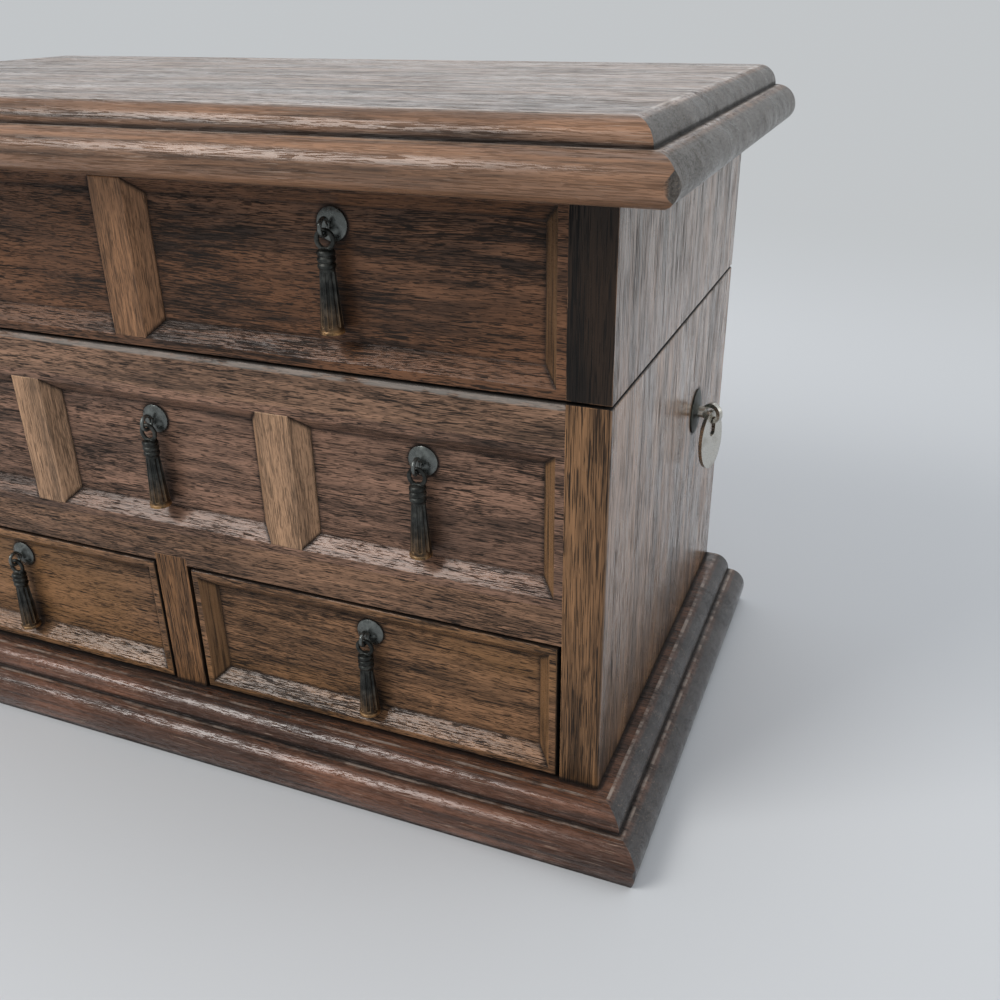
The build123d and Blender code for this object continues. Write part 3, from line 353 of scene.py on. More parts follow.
def walnut(
    name,
    axis,
    middle,
    shift,
    spread=(0.45, 1.55),
    streaks=0.7,
    pores=1.0,
    rough=0.42,
    specular=0.28,
    coat=0.0,
    coat_axis=None,
    lumps=0.3,
    wear=0.5,
    grime_and_shade=0.8,
    end_colour=(0.11, 0.095, 0.08),
    end_from=0.55,
    end_dark=0.4,
    painted_front_shade=None,
    moulding=None,
    bevel=None,
    warm=None,
    scratches=0.0,
    strip_top=None,
    run=1.0,
):
    """Stained open-pored wood with its grain along one axis of the frame.

    The optional looks are: the front shade is painted shade that darkens faces to the front,
    moulding and bevel are the colours of routed edges and of a sunk field's end bevels, warm
    glows in patches, strip_top is the height of a worn top edge, and run below 1 makes the grain
    longer and straighter.
    """
    g = Graph(name)
    moved = g.scaled(g.place(), (1, 1, 1), shift)
    grain = swayed_place(g, moved, axis, run)
    lines = g.noise(g.scaled(grain, stretched(axis, run, LINES)), detail=5.0, rough=0.75)
    colour = ground_wood(g, grain, lines, axis, run, middle, spread)
    if warm:
        glow_at = g.noise(g.scaled(moved, along(axis, *GLOW), (3.1, 1.7, 5.3)), detail=2.0)
        glow = g.math("MULTIPLY", g.spread(glow_at, 0.44, 0.64), 0.6)
        colour = g.mix(glow, colour, g.mix(0.7, colour, warm))

    clusters = g.noise(g.scaled(moved, along(axis, *CLUSTERS)), detail=3.0, rough=0.6)
    smoky = g.math("MULTIPLY", g.spread(clusters, 0.44, 0.62), streaks, clamp=True)
    lined = g.spread(lines, 0.58, 0.42, 0.2, 0.95)
    colour = g.mix(g.math("MULTIPLY", smoky, lined), colour, times(middle, 0.14))
    pore = open_pores(g, grain, smoky, axis, run, pores)
    colour = g.mix(g.math("MULTIPLY", pore, 0.93), colour, BLACK_BROWN)

    end = g.spread(g.facing(AXES[axis]), end_from, min(0.98, end_from + 0.37))
    cut = end_grain(g, moved, axis, end_colour, end_dark)
    colour = g.mix(g.math("MULTIPLY", end, 0.92), colour, cut)
    # Painted shade: faces to the front are darkened, a shaded copy of the same wood.
    if painted_front_shade:
        shaded = g.mix(1.0, colour, (painted_front_shade,) * 3, blend="MULTIPLY")
        colour = g.mix(g.spread(g.towards(FRONT), 0.6, 0.9), colour, shaded)
    if bevel:
        colour = with_side_bevels(g, colour, moved, bevel)
    if moulding:
        colour = with_moulding(g, colour, moved, axis, moulding, end, pore, smoky)

    # Pale rubbed convex edges: wear and a painted highlight along them.
    worn_at = g.noise(g.scaled(moved, along(axis, *WORN_PATCHES)), detail=4.0, rough=0.68)
    edge, soft_normal = g.edges(WOOD_EDGE)
    near = g.crevice(CREASE_REACH)
    convex = g.math("MULTIPLY", edge, g.spread(near, 0.94, 0.99))
    rubbed = g.math("MULTIPLY", convex, g.spread(worn_at, 0.42, 0.58))
    worn = g.math("MULTIPLY", rubbed, wear, clamp=True)
    colour = g.mix(worn, colour, times(moulding, 2.6) if moulding else times(middle, 3.2))
    if moulding:
        colour = with_lip_wear_and_highlight(g, colour, worn_at)
    if scratches:
        colour = with_scratches(g, colour, moved, worn_at, axis, scratches)
    if strip_top:
        colour = with_worn_strip(g, colour, worn_at, strip_top)
    # Darker where surfaces meet and in sharp creases: grime along the joints and painted shade in
    # the hollows.
    darkened_hollows = g.math("MULTIPLY", g.spread(g.crevice(GRIME_AND_SHADE_REACH), 0.72, 0.3), grime_and_shade, clamp=True)
    darkened_hollows = g.math("MAXIMUM", darkened_hollows, g.math("MULTIPLY", g.spread(near, 0.975, 0.84), 0.85))
    colour = g.mix(darkened_hollows, colour, GRIME_AND_SHADE_TONE)

    waves = g.noise(g.scaled(moved, along(axis, *WAVES)), detail=3.0, rough=0.55)
    handled = g.noise(g.scaled(moved, along(axis, *HANDLED)), detail=3.0, rough=0.65)
    height = g.math("MULTIPLY_ADD", waves, lumps, g.math("MULTIPLY", lines, 0.08))
    height = g.math("SUBTRACT", height, g.math("MULTIPLY", pore, 0.2))
    normal = g.bump(height, WOOD_RELIEF, 0.8, soft_normal)
    roughness = g.math("MULTIPLY_ADD", g.spread(handled, 0.35, 0.68), 0.16, rough - 0.08)
    roughness = g.math("MULTIPLY_ADD", pore, 0.35, roughness)
    roughness = g.math("MULTIPLY_ADD", darkened_hollows, 0.3, roughness, clamp=True)
    filled = g.math("MULTIPLY_ADD", pore, -0.9, 1.0)
    filled = g.math("MULTIPLY", filled, g.math("SUBTRACT", 1.0, g.math("MULTIPLY", darkened_hollows, 0.8)))
    shine = g.math("MULTIPLY", filled, coat)
    if coat_axis:
        shine = g.math("MULTIPLY", shine, g.spread(g.facing(AXES[coat_axis]), 0.35, 0.65))
    return g.set(
        colour=colour,
        rough=roughness,
        normal=normal,
        coat=shine,
        coat_rough=0.18,
        coat_normal=normal,
        specular=specular,
    )


def plain_wood(name, axis, shift):
    """Unstained inner wood: fine grain, matt, a few darker lines."""
    g = Graph(name)
    moved = g.scaled(g.place(), (1, 1, 1), shift)
    bands = g.noise(g.scaled(moved, along(axis, 9, 150)), detail=3.0, rough=0.6)
    fibres = g.noise(g.scaled(moved, along(axis, 90, 2600)), detail=2.0, rough=0.6)
    tone = g.math("MULTIPLY_ADD", bands, 0.7, g.math("MULTIPLY", fibres, 0.3))
    stops = [(0.0, (0.23, 0.125, 0.06)), (1.0, (0.42, 0.26, 0.14))]
    colour = g.ramp(g.spread(tone, 0.36, 0.64, smooth=False), stops)
    # Painted shade: the wood is darkened where surfaces meet in the corners.
    darkened_hollows = g.math("MULTIPLY", g.spread(g.crevice(0.006), 0.75, 0.2), 0.7)
    colour = g.mix(darkened_hollows, colour, (0.03, 0.02, 0.013))
    return g.set(
        colour=colour,
        rough=g.spread(bands, 0.3, 0.7, 0.55, 0.7),
        normal=g.bump(fibres, 0.0001, 0.6, g.rounded(0.0005)),
        specular=0.35,
    )


WINE_RED = (0.16, 0.012, 0.024)


def velvet(name):
    """Short crushed pile: mottled where it is brushed, with a soft sheen."""
    g = Graph(name)
    pile = g.clouds(5200, rough=0.7)
    brushed = g.noise(g.scaled(g.place(), (55, 80, 70)), detail=3.0, rough=0.6, distortion=0.6)
    stops = [(0.0, times(WINE_RED, 0.45)), (1.0, times(WINE_RED, 1.5))]
    shade = g.ramp(g.spread(brushed, 0.35, 0.68), stops)
    shade = g.mix(g.math("MULTIPLY", g.spread(pile, 0.45, 0.7), 0.5), shade, times(WINE_RED, 0.2))
    height = g.math("MULTIPLY_ADD", brushed, 0.5, g.math("MULTIPLY", pile, 0.5))
    return g.set(
        colour=shade,
        rough=0.95,
        normal=g.bump(height, 0.0004, 0.9),
        sheen=0.8,
        sheen_rough=0.35,
        specular=0.15,
    )


BRUSHING = (60, 2500, 2500)
METAL_DIRT = (0.006, 0.006, 0.005)
BLACKENED = ((0.012, 0.013, 0.012), (0.035, 0.037, 0.034), (0.075, 0.075, 0.068))
SKIRT_BROWN = ((0.05, 0.032, 0.018), (0.16, 0.085, 0.035))
RUBBED_RIDGE = (0.5, 0.29, 0.12)
RUBBED_RIM = (0.45, 0.25, 0.1)
GREY_EDGE = (0.16, 0.16, 0.145)


def cast_surface(g):
    """Patches and fine pits of a casting: the patches' noise and the height of both."""
    patches = g.clouds(420, detail=4.0, rough=0.65)
    pits = g.clouds(2300, rough=0.6)
    return patches, g.math("MULTIPLY_ADD", patches, 0.7, g.math("MULTIPLY", pits, 0.3))


def with_dirt(g, colour, reach, amount, tone=METAL_DIRT):
    """Dirt gathered in a metal piece's hollows."""
    darkened_hollows = g.spread(g.crevice(reach), 0.6, 0.15)
    return g.mix(g.math("MULTIPLY", darkened_hollows, amount), colour, tone)


def worn_metal(name, body, worn_colour, rough=0.42, wear=0.9, mottle=0.55):
    """Darkened cast metal: uneven, rubbed bright on its edges, dirty in its hollows."""
    g = Graph(name)
    edge, soft_normal = g.edges(0.00025)
    patches, height = cast_surface(g)
    colour = g.ramp(
        g.spread(patches, 0.32, 0.7),
        [(0.0, times(body, 1 - mottle)), (0.55, body), (1.0, times(body, 1 + 1.6 * mottle))],
    )
    rubbed = g.math("MULTIPLY", edge, g.spread(patches, 0.4, 0.6), clamp=True)
    colour = g.mix(g.math("MULTIPLY", rubbed, wear), colour, worn_colour)
    colour = with_dirt(g, colour, 0.0015, 0.75)
    return g.set(
        colour=colour,
        metal=0.85,
        rough=g.spread(patches, 0.3, 0.7, rough - 0.1, rough + 0.14),
        normal=g.bump(height, 0.00012, 0.7, soft_normal),
    )


def drop_metal(name, rim_z, length):
    """The pull's casting: near black above, its lower skirt and rim rubbed to brassy brown."""
    g = Graph(name)
    edge, soft_normal = g.edges(0.0003)
    patches, height = cast_surface(g)
    height_at = g.height()
    low = g.spread(height_at, rim_z + length * 0.42, rim_z + length * 0.03, smooth=False)
    stops = list(zip((0.0, 0.55, 1.0), BLACKENED))
    colour = g.ramp(g.spread(patches, 0.32, 0.7), stops)
    brown = g.mix(g.spread(patches, 0.4, 0.62), *SKIRT_BROWN)
    colour = g.mix(g.math("MULTIPLY", g.math("POWER", low, 1.5), 0.85), colour, brown)
    ridge = g.math("MULTIPLY", edge, g.spread(low, 0.05, 0.9), clamp=True)
    colour = g.mix(g.math("MULTIPLY", ridge, 0.9), colour, RUBBED_RIDGE)
    rim = g.spread(height_at, rim_z + 0.0016, rim_z + 0.0003)
    colour = g.mix(g.math("MULTIPLY", rim, g.spread(patches, 0.34, 0.56)), colour, RUBBED_RIM)
    colour = g.mix(g.math("MULTIPLY", edge, 0.35), colour, GREY_EDGE)
    colour = with_dirt(g, colour, 0.0012, 0.7)
    return g.set(
        colour=colour,
        metal=0.75,
        rough=g.spread(patches, 0.3, 0.7, 0.3, 0.5),
        normal=g.bump(height, 0.0001, 0.7, soft_normal),
    )


def bright_metal(name, colour, rough, tarnish=(0.2, 0.17, 0.12), amount=0.35):
    """Plated or ground metal: fine brushing, a little tarnish and soft edges."""
    g = Graph(name)
    lines = g.noise(g.scaled(g.place(), BRUSHING), detail=2.0, rough=0.6)
    clouds = g.clouds(160, detail=3.0, rough=0.6)
    shade = g.mix(g.math("MULTIPLY", g.spread(clouds, 0.48, 0.7), amount), colour, tarnish)
    shade = with_dirt(g, shade, 0.0015, 0.6, (0.03, 0.027, 0.022))
    return g.set(
        colour=shade,
        metal=1.0,
        rough=g.spread(lines, 0.3, 0.7, rough - 0.06, rough + 0.12),
        normal=g.bump(lines, 0.00004, 0.5, g.rounded(0.0002)),
    )


def mirror_glass():
    """Old silvered glass: a little haze and a few dark specks."""
    g = Graph("mirror_glass")
    haze = g.clouds(18, detail=4.0, rough=0.7)
    specks = g.clouds(700, detail=1.0)
    speck = g.math("MULTIPLY", g.spread(specks, 0.74, 0.8), 0.5)
    colour = g.mix(speck, (0.86, 0.88, 0.88), (0.3, 0.3, 0.28))
    return g.set(colour=colour, metal=1.0, rough=g.spread(haze, 0.4, 0.75, 0.02, 0.07))


def clear_sheet():
    """Clear plastic, hazy and lightly scuffed."""
    g = Graph("clear_sheet")
    haze = g.clouds(45, detail=4.0, rough=0.7)
    scuffs = g.noise(g.scaled(g.place(), (90, 2200, 600)), detail=2.0, rough=0.5)
    return g.set(
        colour=(0.95, 0.97, 0.97),
        rough=g.spread(haze, 0.4, 0.7, 0.04, 0.16),
        normal=g.bump(scuffs, 0.00002, 0.3),
        transmission=1.0,
        ior=1.49,
        alpha=0.55,
    )


def casting():
    """The movement's grey cast metal."""
    g = Graph("grey_casting")
    grain = g.clouds(1900, rough=0.6)
    clouds = g.clouds(140, detail=3.0, rough=0.6)
    colour = g.mix(g.spread(clouds, 0.35, 0.7), (0.28, 0.28, 0.27), (0.46, 0.46, 0.44))
    normal = g.bump(grain, 0.0001, 0.5, g.rounded(0.0003))
    return g.set(colour=colour, metal=0.8, rough=0.5, normal=normal)


def dress(material, *names):
    """Gives CAD nodes a material in place of their plain one."""
    for name in names:
        slots = nodes[name].data.materials
        if not slots:
            slots.append(material)
        for index in range(len(slots)):
            slots[index] = material


# The woods of the case

front_wood = dict(grime_and_shade=0.9, coat=0.4, coat_axis="Z")
dress(
    walnut(
        "field_wood_lid",
        "X",
        (0.13, 0.06, 0.03),
        (0.3, 0.1, 0.2),
        streaks=1.0,
        warm=(0.2, 0.08, 0.03),
        bevel=(0.125, 0.066, 0.03),
        **front_wood,
    ),
    "lid_front_panel",
)
dress(
    walnut(
        "field_wood_middle",
        "X",
        (0.225, 0.125, 0.082),
        (1.3, 0.4, 0.7),
        streaks=0.75,
        bevel=(0.2, 0.105, 0.045),
        **front_wood,
    ),
    "middle_panel",
)
for number, side_name in enumerate(("left", "right")):
    dress(
        walnut(
            f"field_wood_{side_name}",
            "X",
            (0.23, 0.118, 0.058),
            (2.3 + 2.4 * number, 0.9 - 0.7 * number, 0.1 + 0.8 * number),
            streaks=0.75,
            warm=(0.28, 0.135, 0.042),
            bevel=(0.195, 0.1, 0.042),
            **front_wood,
        ),
        f"{side_name}_drawer_front",
    )
case_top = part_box("upper_rail")[1].z
dress(
    walnut(
        "upper_rail_wood",
        "X",
        (0.23, 0.13, 0.08),
        (5.1, 0.6, 0.4),
        streaks=0.5,
        wear=0.7,
        strip_top=case_top,
    ),
    "upper_rail",
)
dress(
    walnut("lower_rail_wood", "X", (0.22, 0.12, 0.07), (7.1, 0.4, 0.6), streaks=0.5, wear=0.7),
    "lower_rail",
)
dress(
    walnut("post_wood", "Z", (0.23, 0.11, 0.045), (0.9, 0.3, 0.6), streaks=0.4, run=0.5),
    "divider_post",
)
glossy_side = dict(rough=0.3, specular=0.25, coat=1.0, coat_axis="X", run=0.35)
dress(
    walnut(
        "side_wood",
        "Z",
        (0.25, 0.13, 0.06),
        (3.9, 0.1, 0.2),
        streaks=0.5,
        wear=0.6,
        # painted shade on the faces to the front
        painted_front_shade=0.8,
        **glossy_side,
    ),
    "left_side_board",
    "right_side_board",
)
dress(
    walnut(
        "lid_side_wood",
        "Z",
        (0.21, 0.112, 0.06),
        (7.7, 0.5, 0.3),
        streaks=0.6,
        # painted shade on the faces to the front
        painted_front_shade=0.09,
        **glossy_side,
    ),
    "lid_left_side",
    "lid_right_side",
)
dress(
    walnut("back_wood", "X", (0.2, 0.11, 0.055), (3.4, 0.8, 0.5), streaks=0.5, pores=0.7, run=0.6),
    "back_board",
    "lid_back_board",
)
block = dict(spread=(0.5, 1.5), streaks=0.25, pores=0.6, grime_and_shade=0.95, wear=0.6)
dress(
    walnut("middle_block_wood", "Z", (0.34, 0.2, 0.115), (2.1, 0.8, 0.5), **block),
    "middle_blocks",
)
dress(walnut("lid_block_wood", "Z", (0.25, 0.125, 0.06), (6.4, 0.3, 0.8), **block), "lid_block")
dress(
    walnut(
        "lid_board_wood",
        "X",
        (0.2, 0.12, 0.075),
        (6.3, 0.2, 0.9),
        streaks=0.45,
        run=0.6,
        rough=0.34,
        coat=0.4,
        lumps=0.6,
        wear=0.7,
        end_colour=(0.115, 0.103, 0.088),
        end_from=0.2,
        end_dark=0.5,
        moulding=(0.25, 0.13, 0.072),
        scratches=0.5,
    ),
    "lid_board",
)
dress(
    walnut(
        "base_board_wood",
        "X",
        (0.12, 0.055, 0.032),
        (8.9, 0.7, 0.1),
        streaks=0.85,
        rough=0.28,
        coat=0.7,
        lumps=0.9,
        wear=0.7,
        end_colour=(0.05, 0.047, 0.046),
        end_from=0.12,
        end_dark=0.9,
        moulding=(0.17, 0.066, 0.032),
        scratches=0.5,
    ),
    "base_board",
)
for name, axis, shift, dressed in (
    (
        "inner_wood_long",
        "X",
        (0.4, 0.8, 0.2),
        ("tray_floor", "tray_long_divider", "left_drawer_bottom"),
    ),
    ("inner_wood_deep", "Y", (1.4, 0.3, 0.7), ("tray_cross_divider", "music_bay_wall")),
    (
        "drawer_wood",
        "Y",
        (2.2, 0.6, 0.1),
        ("left_drawer_walls", "right_drawer_walls", "drawer_partition"),
    ),
    ("drawer_bottom_wood", "X", (5.2, 0.6, 0.4), ("right_drawer_bottom",)),
):
    dress(plain_wood(name, axis, shift), *dressed)

# Velvet


CARD = 0.0012  # thickness of a velvet-covered card
CARD_GAP = 0.00005
GLASS_LAP = 0.002  # how far the padded frame laps over the mirror
ROLL_GAP = 0.0005


def steps_between(low, high, radius, cell):
    """Places along one side of a pad, closer together in its rounded edges."""
    inner = high - low - 2 * radius
    count = max(1, round(inner / cell))
    middle = [low + radius + inner * step / count for step in range(count + 1)]
    return [low, low + 0.3 * radius, *middle, high - 0.3 * radius, high]


def add_pad(built, low, high, radius=0.0005, cell=0.006):
    """Adds a closed slab with rounded edges."""
    steps = [steps_between(low[i], high[i], radius, cell) for i in range(3)]
    last = [len(places) - 1 for places in steps]
    made = {}

    def corner(index):
        if index not in made:
            point = Vector(steps[i][index[i]] for i in range(3))
            core = Vector(min(max(point[i], low[i] + radius), high[i] - radius) for i in range(3))
            made[index] = built.verts.new(core + (point - core).normalized() * radius)
        return made[index]

    for axis in range(3):
        u, v = (axis + 1) % 3, (axis + 2) % 3
        for end in (0, last[axis]):
            for a in range(last[u]):
                for b in range(last[v]):
                    square = []
                    for step_a, step_b in ((0, 0), (1, 0), (1, 1), (0, 1)):
                        index = [0, 0, 0]
                        index[axis], index[u], index[v] = end, a + step_a, b + step_b
                        square.append(corner(tuple(index)))
                    built.faces.new(square if end else square[::-1])


def add_roll(built, low, high, phase, arch=14, runs=30, draw=0.22, end_round=0.004, foot=0.8):
    """Adds one stuffed roll along X: an arched section, a little uneven, drawn in at both ends."""
    radius = (high[1] - low[1]) / 2
    middle = Vector((0, (low[1] + high[1]) / 2, (low[2] + high[2]) / 2))
    shoulder = high[2] - radius

    def flank(side, shares):
        rise = shoulder - low[2]
        return [Vector((0, middle.y + side * radius, low[2] + rise * t)) for t in shares]

    section = [Vector((0, middle.y + radius * foot, low[2]))]
    section += flank(1, (0.08, 0.5, 0.9))
    section += [
        Vector((0, middle.y + radius * cos(pi * t / arch), shoulder + radius * sin(pi * t / arch)))
        for t in range(arch + 1)
    ]
    section += flank(-1, (0.9, 0.5, 0.08))
    section += [Vector((0, middle.y - radius * foot, low[2]))]
    stations = [
        (end_round * t, 1 - draw * (1 - sqrt(1 - (1 - t) ** 2))) for t in (0.0, 0.1, 0.3, 0.6, 1.0)
    ]
    inner = high[0] - low[0] - 2 * end_round
    places = [(low[0] + x, s) for x, s in stations]
    places += [(low[0] + end_round + inner * t / runs, 1.0) for t in range(1, runs)]
    places += [(high[0] - x, s) for x, s in reversed(stations)]
    rings = []
    for x, size in places:
        uneven = size * (0.985 + 0.012 * sin(x * 310 + phase) * sin(x * 97 + 2 * phase))
        ring = []
        for point in section:
            out = middle + (point - middle) * uneven
            ring.append(built.verts.new((x, out.y, max(out.z, low[2]))))
        rings.append(ring)
    count = len(section)
    for near, far in zip(rings, rings[1:]):
        for i in range(count):
            j = (i + 1) % count
            built.faces.new((near[i], near[j], far[j], far[i]))
    built.faces.new(rings[0][::-1])
    built.faces.new(rings[-1])


def add_padded_frame(built, inner_low, inner_high, width, back_z, glass_z, face_z, cell=0.006):
    """Adds a padded frame round an opening, its inner lip lapping over the edge of the glass."""
    section = [
        (GLASS_LAP, glass_z),
        (0.0001, glass_z),
        (0.0, (glass_z + face_z) / 2),
        (0.0004, face_z + 0.0001),
        (0.0012, face_z),
        (width * 0.35, face_z - 0.0004),
        (width * 0.65, face_z - 0.0004),
        (width - 0.0014, face_z),
        (width - 0.0004, face_z + 0.0003),
        (width, face_z + 0.0011),
        (width, back_z),
        (GLASS_LAP, back_z),
    ]
    corners = [(-1, -1), (1, -1), (1, 1), (-1, 1)]
    rings = []
    for corner, after in zip(corners, corners[1:] + corners[:1]):
        along_side = 0 if corner[1] == after[1] else 1
        count = round((inner_high[along_side] - inner_low[along_side]) / cell)
        for step in range(count):
            t = step / count
            ring = []
            for out, z in section:
                ends = [
                    [inner_low[i] - out if sign[i] < 0 else inner_high[i] + out for i in range(2)]
                    for sign in (corner, after)
                ]
                x, y = (ends[0][i] + (ends[1][i] - ends[0][i]) * t for i in range(2))
                ring.append(built.verts.new((x, y, z)))
            rings.append(ring)
    count = len(section)
    for near, far in zip(rings, rings[1:] + rings[:1]):
        for i in range(count):
            j = (i + 1) % count
            built.faces.new((near[i], far[i], far[j], near[j]))


def soft_piece(name, body, stands_for, material, build):
    """Makes a velvet piece from its builder and puts it in the place of a CAD node."""
    built = bmesh.new()
    build(built)
    bmesh.ops.recalc_face_normals(built, faces=built.faces)
    mesh = bpy.data.meshes.new(name)
    built.to_mesh(mesh)
    built.free()
    for face in mesh.polygons:
        face.use_smooth = True
    mesh.materials.append(material)
    piece = bpy.data.objects.new(name, mesh)
    scene.collection.objects.link(piece)
    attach(piece, body)
    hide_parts(stands_for)


floor_low, floor_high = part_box("tray_floor")
wall_low, wall_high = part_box("tray_long_divider")
cross_low, cross_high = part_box("tray_cross_divider")
music_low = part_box("music_bay_wall")[0]
level, card_level, card_top = floor_high.z, floor_high.z + CARD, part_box("tray_lining")[1].z
west, east, south, north = floor_low.x, floor_high.x, floor_low.y, floor_high.y


def tray_cards(built):
    """Velvet-covered cards on the floor and the walls of the tray."""
    pad_front = south + CARD
    behind_front = pad_front + CARD_GAP
    on_floor_cards = card_level + CARD_GAP
    for low, high in (
        ((west, south, level), (east, pad_front, card_top)),
        ((west, behind_front, level), (cross_low.x, wall_low.y, card_level)),
        ((cross_high.x, behind_front, level), (east, wall_low.y, card_level)),
        ((west, wall_high.y, level), (music_low.x, north, card_level)),
        ((west, behind_front, on_floor_cards), (west + CARD, wall_low.y, card_top)),
        ((east - CARD, behind_front, on_floor_cards), (east, wall_low.y, card_top)),
        ((west, wall_high.y, on_floor_cards), (west + CARD, north, card_top)),
        ((west + CARD + CARD_GAP, north - CARD, on_floor_cards), (music_low.x, north, card_top)),
    ):
        add_pad(built, low, high)


def rolls(built):
    """The row of stuffed rolls that hold rings."""
    low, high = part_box("ring_rolls")
    count = 5
    pitch = (high.y - low.y + ROLL_GAP) / count
    for number in range(count):
        start = low.y + number * pitch
        end = start + pitch - ROLL_GAP
        add_roll(built, (low.x, start, low.z), (high.x, end, high.z), 1.7 * number)


def surround(built):
    """The padded frame round the mirror."""
    glass_low, glass_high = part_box("lid_mirror")
    low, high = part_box("mirror_surround")
    inner_low = (glass_low.x + GLASS_LAP, glass_low.y + GLASS_LAP)
    inner_high = (glass_high.x - GLASS_LAP, glass_high.y - GLASS_LAP)
    width = inner_low[0] - low.x
    add_padded_frame(built, inner_low, inner_high, width, high.z, glass_low.z, low.z)


red = velvet("red_velvet")
soft_piece("tray_velvet_cards", "case", "tray_lining", red, tray_cards)
soft_piece("ring_roll_cushions", "case", "ring_rolls", red, rolls)
soft_piece("mirror_padded_frame", "lid", "mirror_surround", velvet("lid_velvet"), surround)
for side_name in ("left", "right"):
    low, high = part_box(f"{side_name}_drawer_lining")
    soft_piece(
        f"{side_name}_drawer_velvet",
        f"{side_name}_drawer",
        f"{side_name}_drawer_lining",
        red,
        lambda built: add_pad(built, low, high),
    )

# Metal

dress(
    worn_metal(
        "blackened_plates",
        (0.14, 0.15, 0.143),
        (0.42, 0.42, 0.38),
        rough=0.28,
        wear=0.8,
        mottle=0.22,
    ),
    "lid_pull_mounts",
    "middle_pull_mounts",
    "left_drawer_pull_mount",
    "right_drawer_pull_mount",
)
dress(worn_metal("key_plate_metal", (0.06, 0.066, 0.058), (0.22, 0.21, 0.17)), "key_plate")
for row, row_nodes in (
    ("lid", ("lid_left_pull", "lid_right_pull")),
    ("middle", ("middle_left_pull", "middle_centre_pull", "middle_right_pull")),
    ("drawer", ("left_drawer_pull", "right_drawer_pull")),
):
    low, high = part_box(row_nodes[0])
    dress(drop_metal(f"{row}_pull_metal", low.z, high.z - low.z), *row_nodes)
dress(
    bright_metal("satin_nickel", (0.62, 0.6, 0.55), rough=0.24),
    "winding_key_stem",
    "winding_key_flag",
)
dress(
    bright_metal(
        "aged_brass",
        (0.62, 0.42, 0.17),
        rough=0.32,
        tarnish=(0.2, 0.12, 0.05),
        amount=0.6,
    ),
    "hinge_body_leaves",
    "hinge_lid_leaves",
    "hinge_pins",
    "hinge_body_screws",
    "hinge_lid_screws",
    "pinned_drum",
    "air_brake_fly",
)
dress(
    bright_metal("ground_steel", (0.55, 0.56, 0.58), rough=0.28),
    "movement_screws",
    "music_comb",
    "mainspring",
    "stop_wire",
    "spring_barrel",
)
dress(casting(), "movement_bedplate")
dress(mirror_glass(), "lid_mirror")
dress(clear_sheet(), "music_cover")


# Stage, light and camera

PALE = (0.54, 0.56, 0.575)
# The floor goes over into PALE between these distances from the middle of the box
FADE_FROM, FADE_TO = 0.22, 0.75


def seen_rays(tree):
    """1 for camera, glossy and transmission rays, 0 for light bounced off a matt surface."""
    rays = tree.nodes.new("ShaderNodeLightPath")
    total = rays.outputs["Is Camera Ray"]
    for name in ("Is Glossy Ray", "Is Transmission Ray"):
        either = tree.nodes.new("ShaderNodeMath")
        either.operation = "MAXIMUM"
        tree.links.new(total, either.inputs[0])
        tree.links.new(rays.outputs[name], either.inputs[1])
        total = either.outputs[0]
    return total


def stage_surface():
    """One pale floor: it keeps the shadow near the box and runs out into the plain background."""
    g = Graph("pale_sheet")
    cloud = g.noise(g.place(), scale=2.2, detail=1.0)
    g.set(colour=g.mix(cloud, (0.6, 0.615, 0.63), (0.68, 0.69, 0.7)), rough=0.6, specular=0.2)
    distance = g.vector("LENGTH", g.vector("MULTIPLY", g.place(), (1, 1, 0)))
    far = g.math("MULTIPLY", g.spread(distance, FADE_FROM, FADE_TO), seen_rays(g.tree))
    plain = g.node("ShaderNodeEmission", {"Color": (*PALE, 1), "Strength": 1.0})
    mixed = g.node("ShaderNodeMixShader", {"Fac": far})
    g.tree.links.new(g.shader.outputs["BSDF"], mixed.inputs[1])
    g.tree.links.new(plain.outputs["Emission"], mixed.inputs[2])
    g.tree.links.new(mixed.outputs["Shader"], g.output.inputs["Surface"])
    mesh = bpy.data.meshes.new("stage_sheet")
    built = bmesh.new()
    bmesh.ops.create_grid(built, x_segments=8, y_segments=8, size=20.0)
    built.to_mesh(mesh)
    built.free()
    sheet = bpy.data.objects.new("stage_sheet", mesh)
    scene.collection.objects.link(sheet)
    mesh.materials.append(g.material)


def area_light(name, place, target, size, power, colour=(1, 1, 1)):
    lamp = bpy.data.lights.new(name, "AREA")
    lamp.shape = "RECTANGLE"
    lamp.size, lamp.size_y = size
    lamp.energy = power
    lamp.color = colour
    holder = bpy.data.objects.new(name, lamp)
    holder.location = place
    holder.rotation_euler = (Vector(target) - Vector(place)).to_track_quat("-Z", "Y").to_euler()
    scene.collection.objects.link(holder)


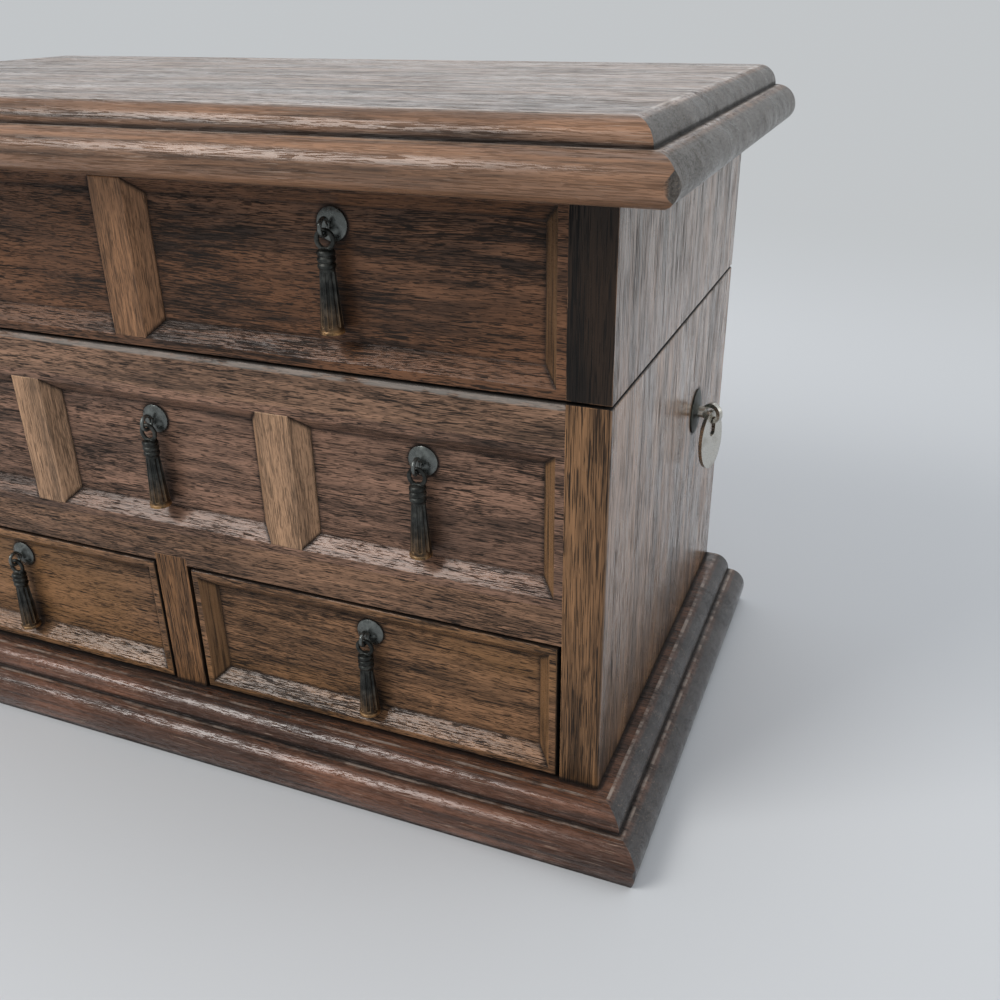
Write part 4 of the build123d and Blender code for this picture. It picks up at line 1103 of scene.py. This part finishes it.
def world_light():
    world = bpy.data.worlds.new("soft_room")
    scene.world = world
    world.use_nodes = True
    tree = world.node_tree
    tree.nodes.clear()
    output = tree.nodes.new("ShaderNodeOutputWorld")
    room = tree.nodes.new("ShaderNodeBackground")
    room.inputs["Color"].default_value = (0.9, 0.94, 1.0, 1)
    room.inputs["Strength"].default_value = 0.5
    seen = tree.nodes.new("ShaderNodeBackground")
    seen.inputs["Color"].default_value = (*PALE, 1)
    mixed = tree.nodes.new("ShaderNodeMixShader")
    tree.links.new(seen_rays(tree), mixed.inputs["Fac"])
    tree.links.new(room.outputs["Background"], mixed.inputs[1])
    tree.links.new(seen.outputs["Background"], mixed.inputs[2])
    tree.links.new(mixed.outputs["Shader"], output.inputs["Surface"])


stage_surface()
world_light()
middle_of_box = (0.0, 0.0, 0.08)
area_light("left_window", (-0.6, -0.75, 0.9), middle_of_box, (0.6, 0.6), 8.5, (1.0, 0.985, 0.96))
area_light("ceiling", (0.2, 0.3, 1.4), middle_of_box, (1.2, 1.2), 4.5, (0.97, 0.985, 1.0))
area_light("back_window", (-0.75, 1.4, 0.85), middle_of_box, (1.7, 1.0), 4.0, (0.96, 0.98, 1.0))
area_light("right_fill", (1.1, 0.35, 0.7), middle_of_box, (0.9, 0.9), 2.5, (0.94, 0.97, 1.0))

scene.view_settings.view_transform = "Standard"
camera_data = bpy.data.cameras.new("camera")
camera_data.lens = 37.2
camera_data.sensor_width = 36.0
camera_data.sensor_fit = "HORIZONTAL"
camera_data.dof.use_dof = False
camera_data.clip_start = 0.01
camera = bpy.data.objects.new("camera", camera_data)
right = Vector((0.9267, 0.3756, -0.0128)).normalized()
forward = Vector((-0.3416, 0.8278, -0.4450)).normalized()
right = (right - forward * right.dot(forward)).normalized()
up = right.cross(forward)
turn = Matrix((right, up, -forward)).transposed().to_4x4()
camera.matrix_world = Matrix.Translation((0.1644, -0.2344, 0.1822)) @ turn
scene.collection.objects.link(camera)
scene.camera = camera

bpy.context.view_layer.update()
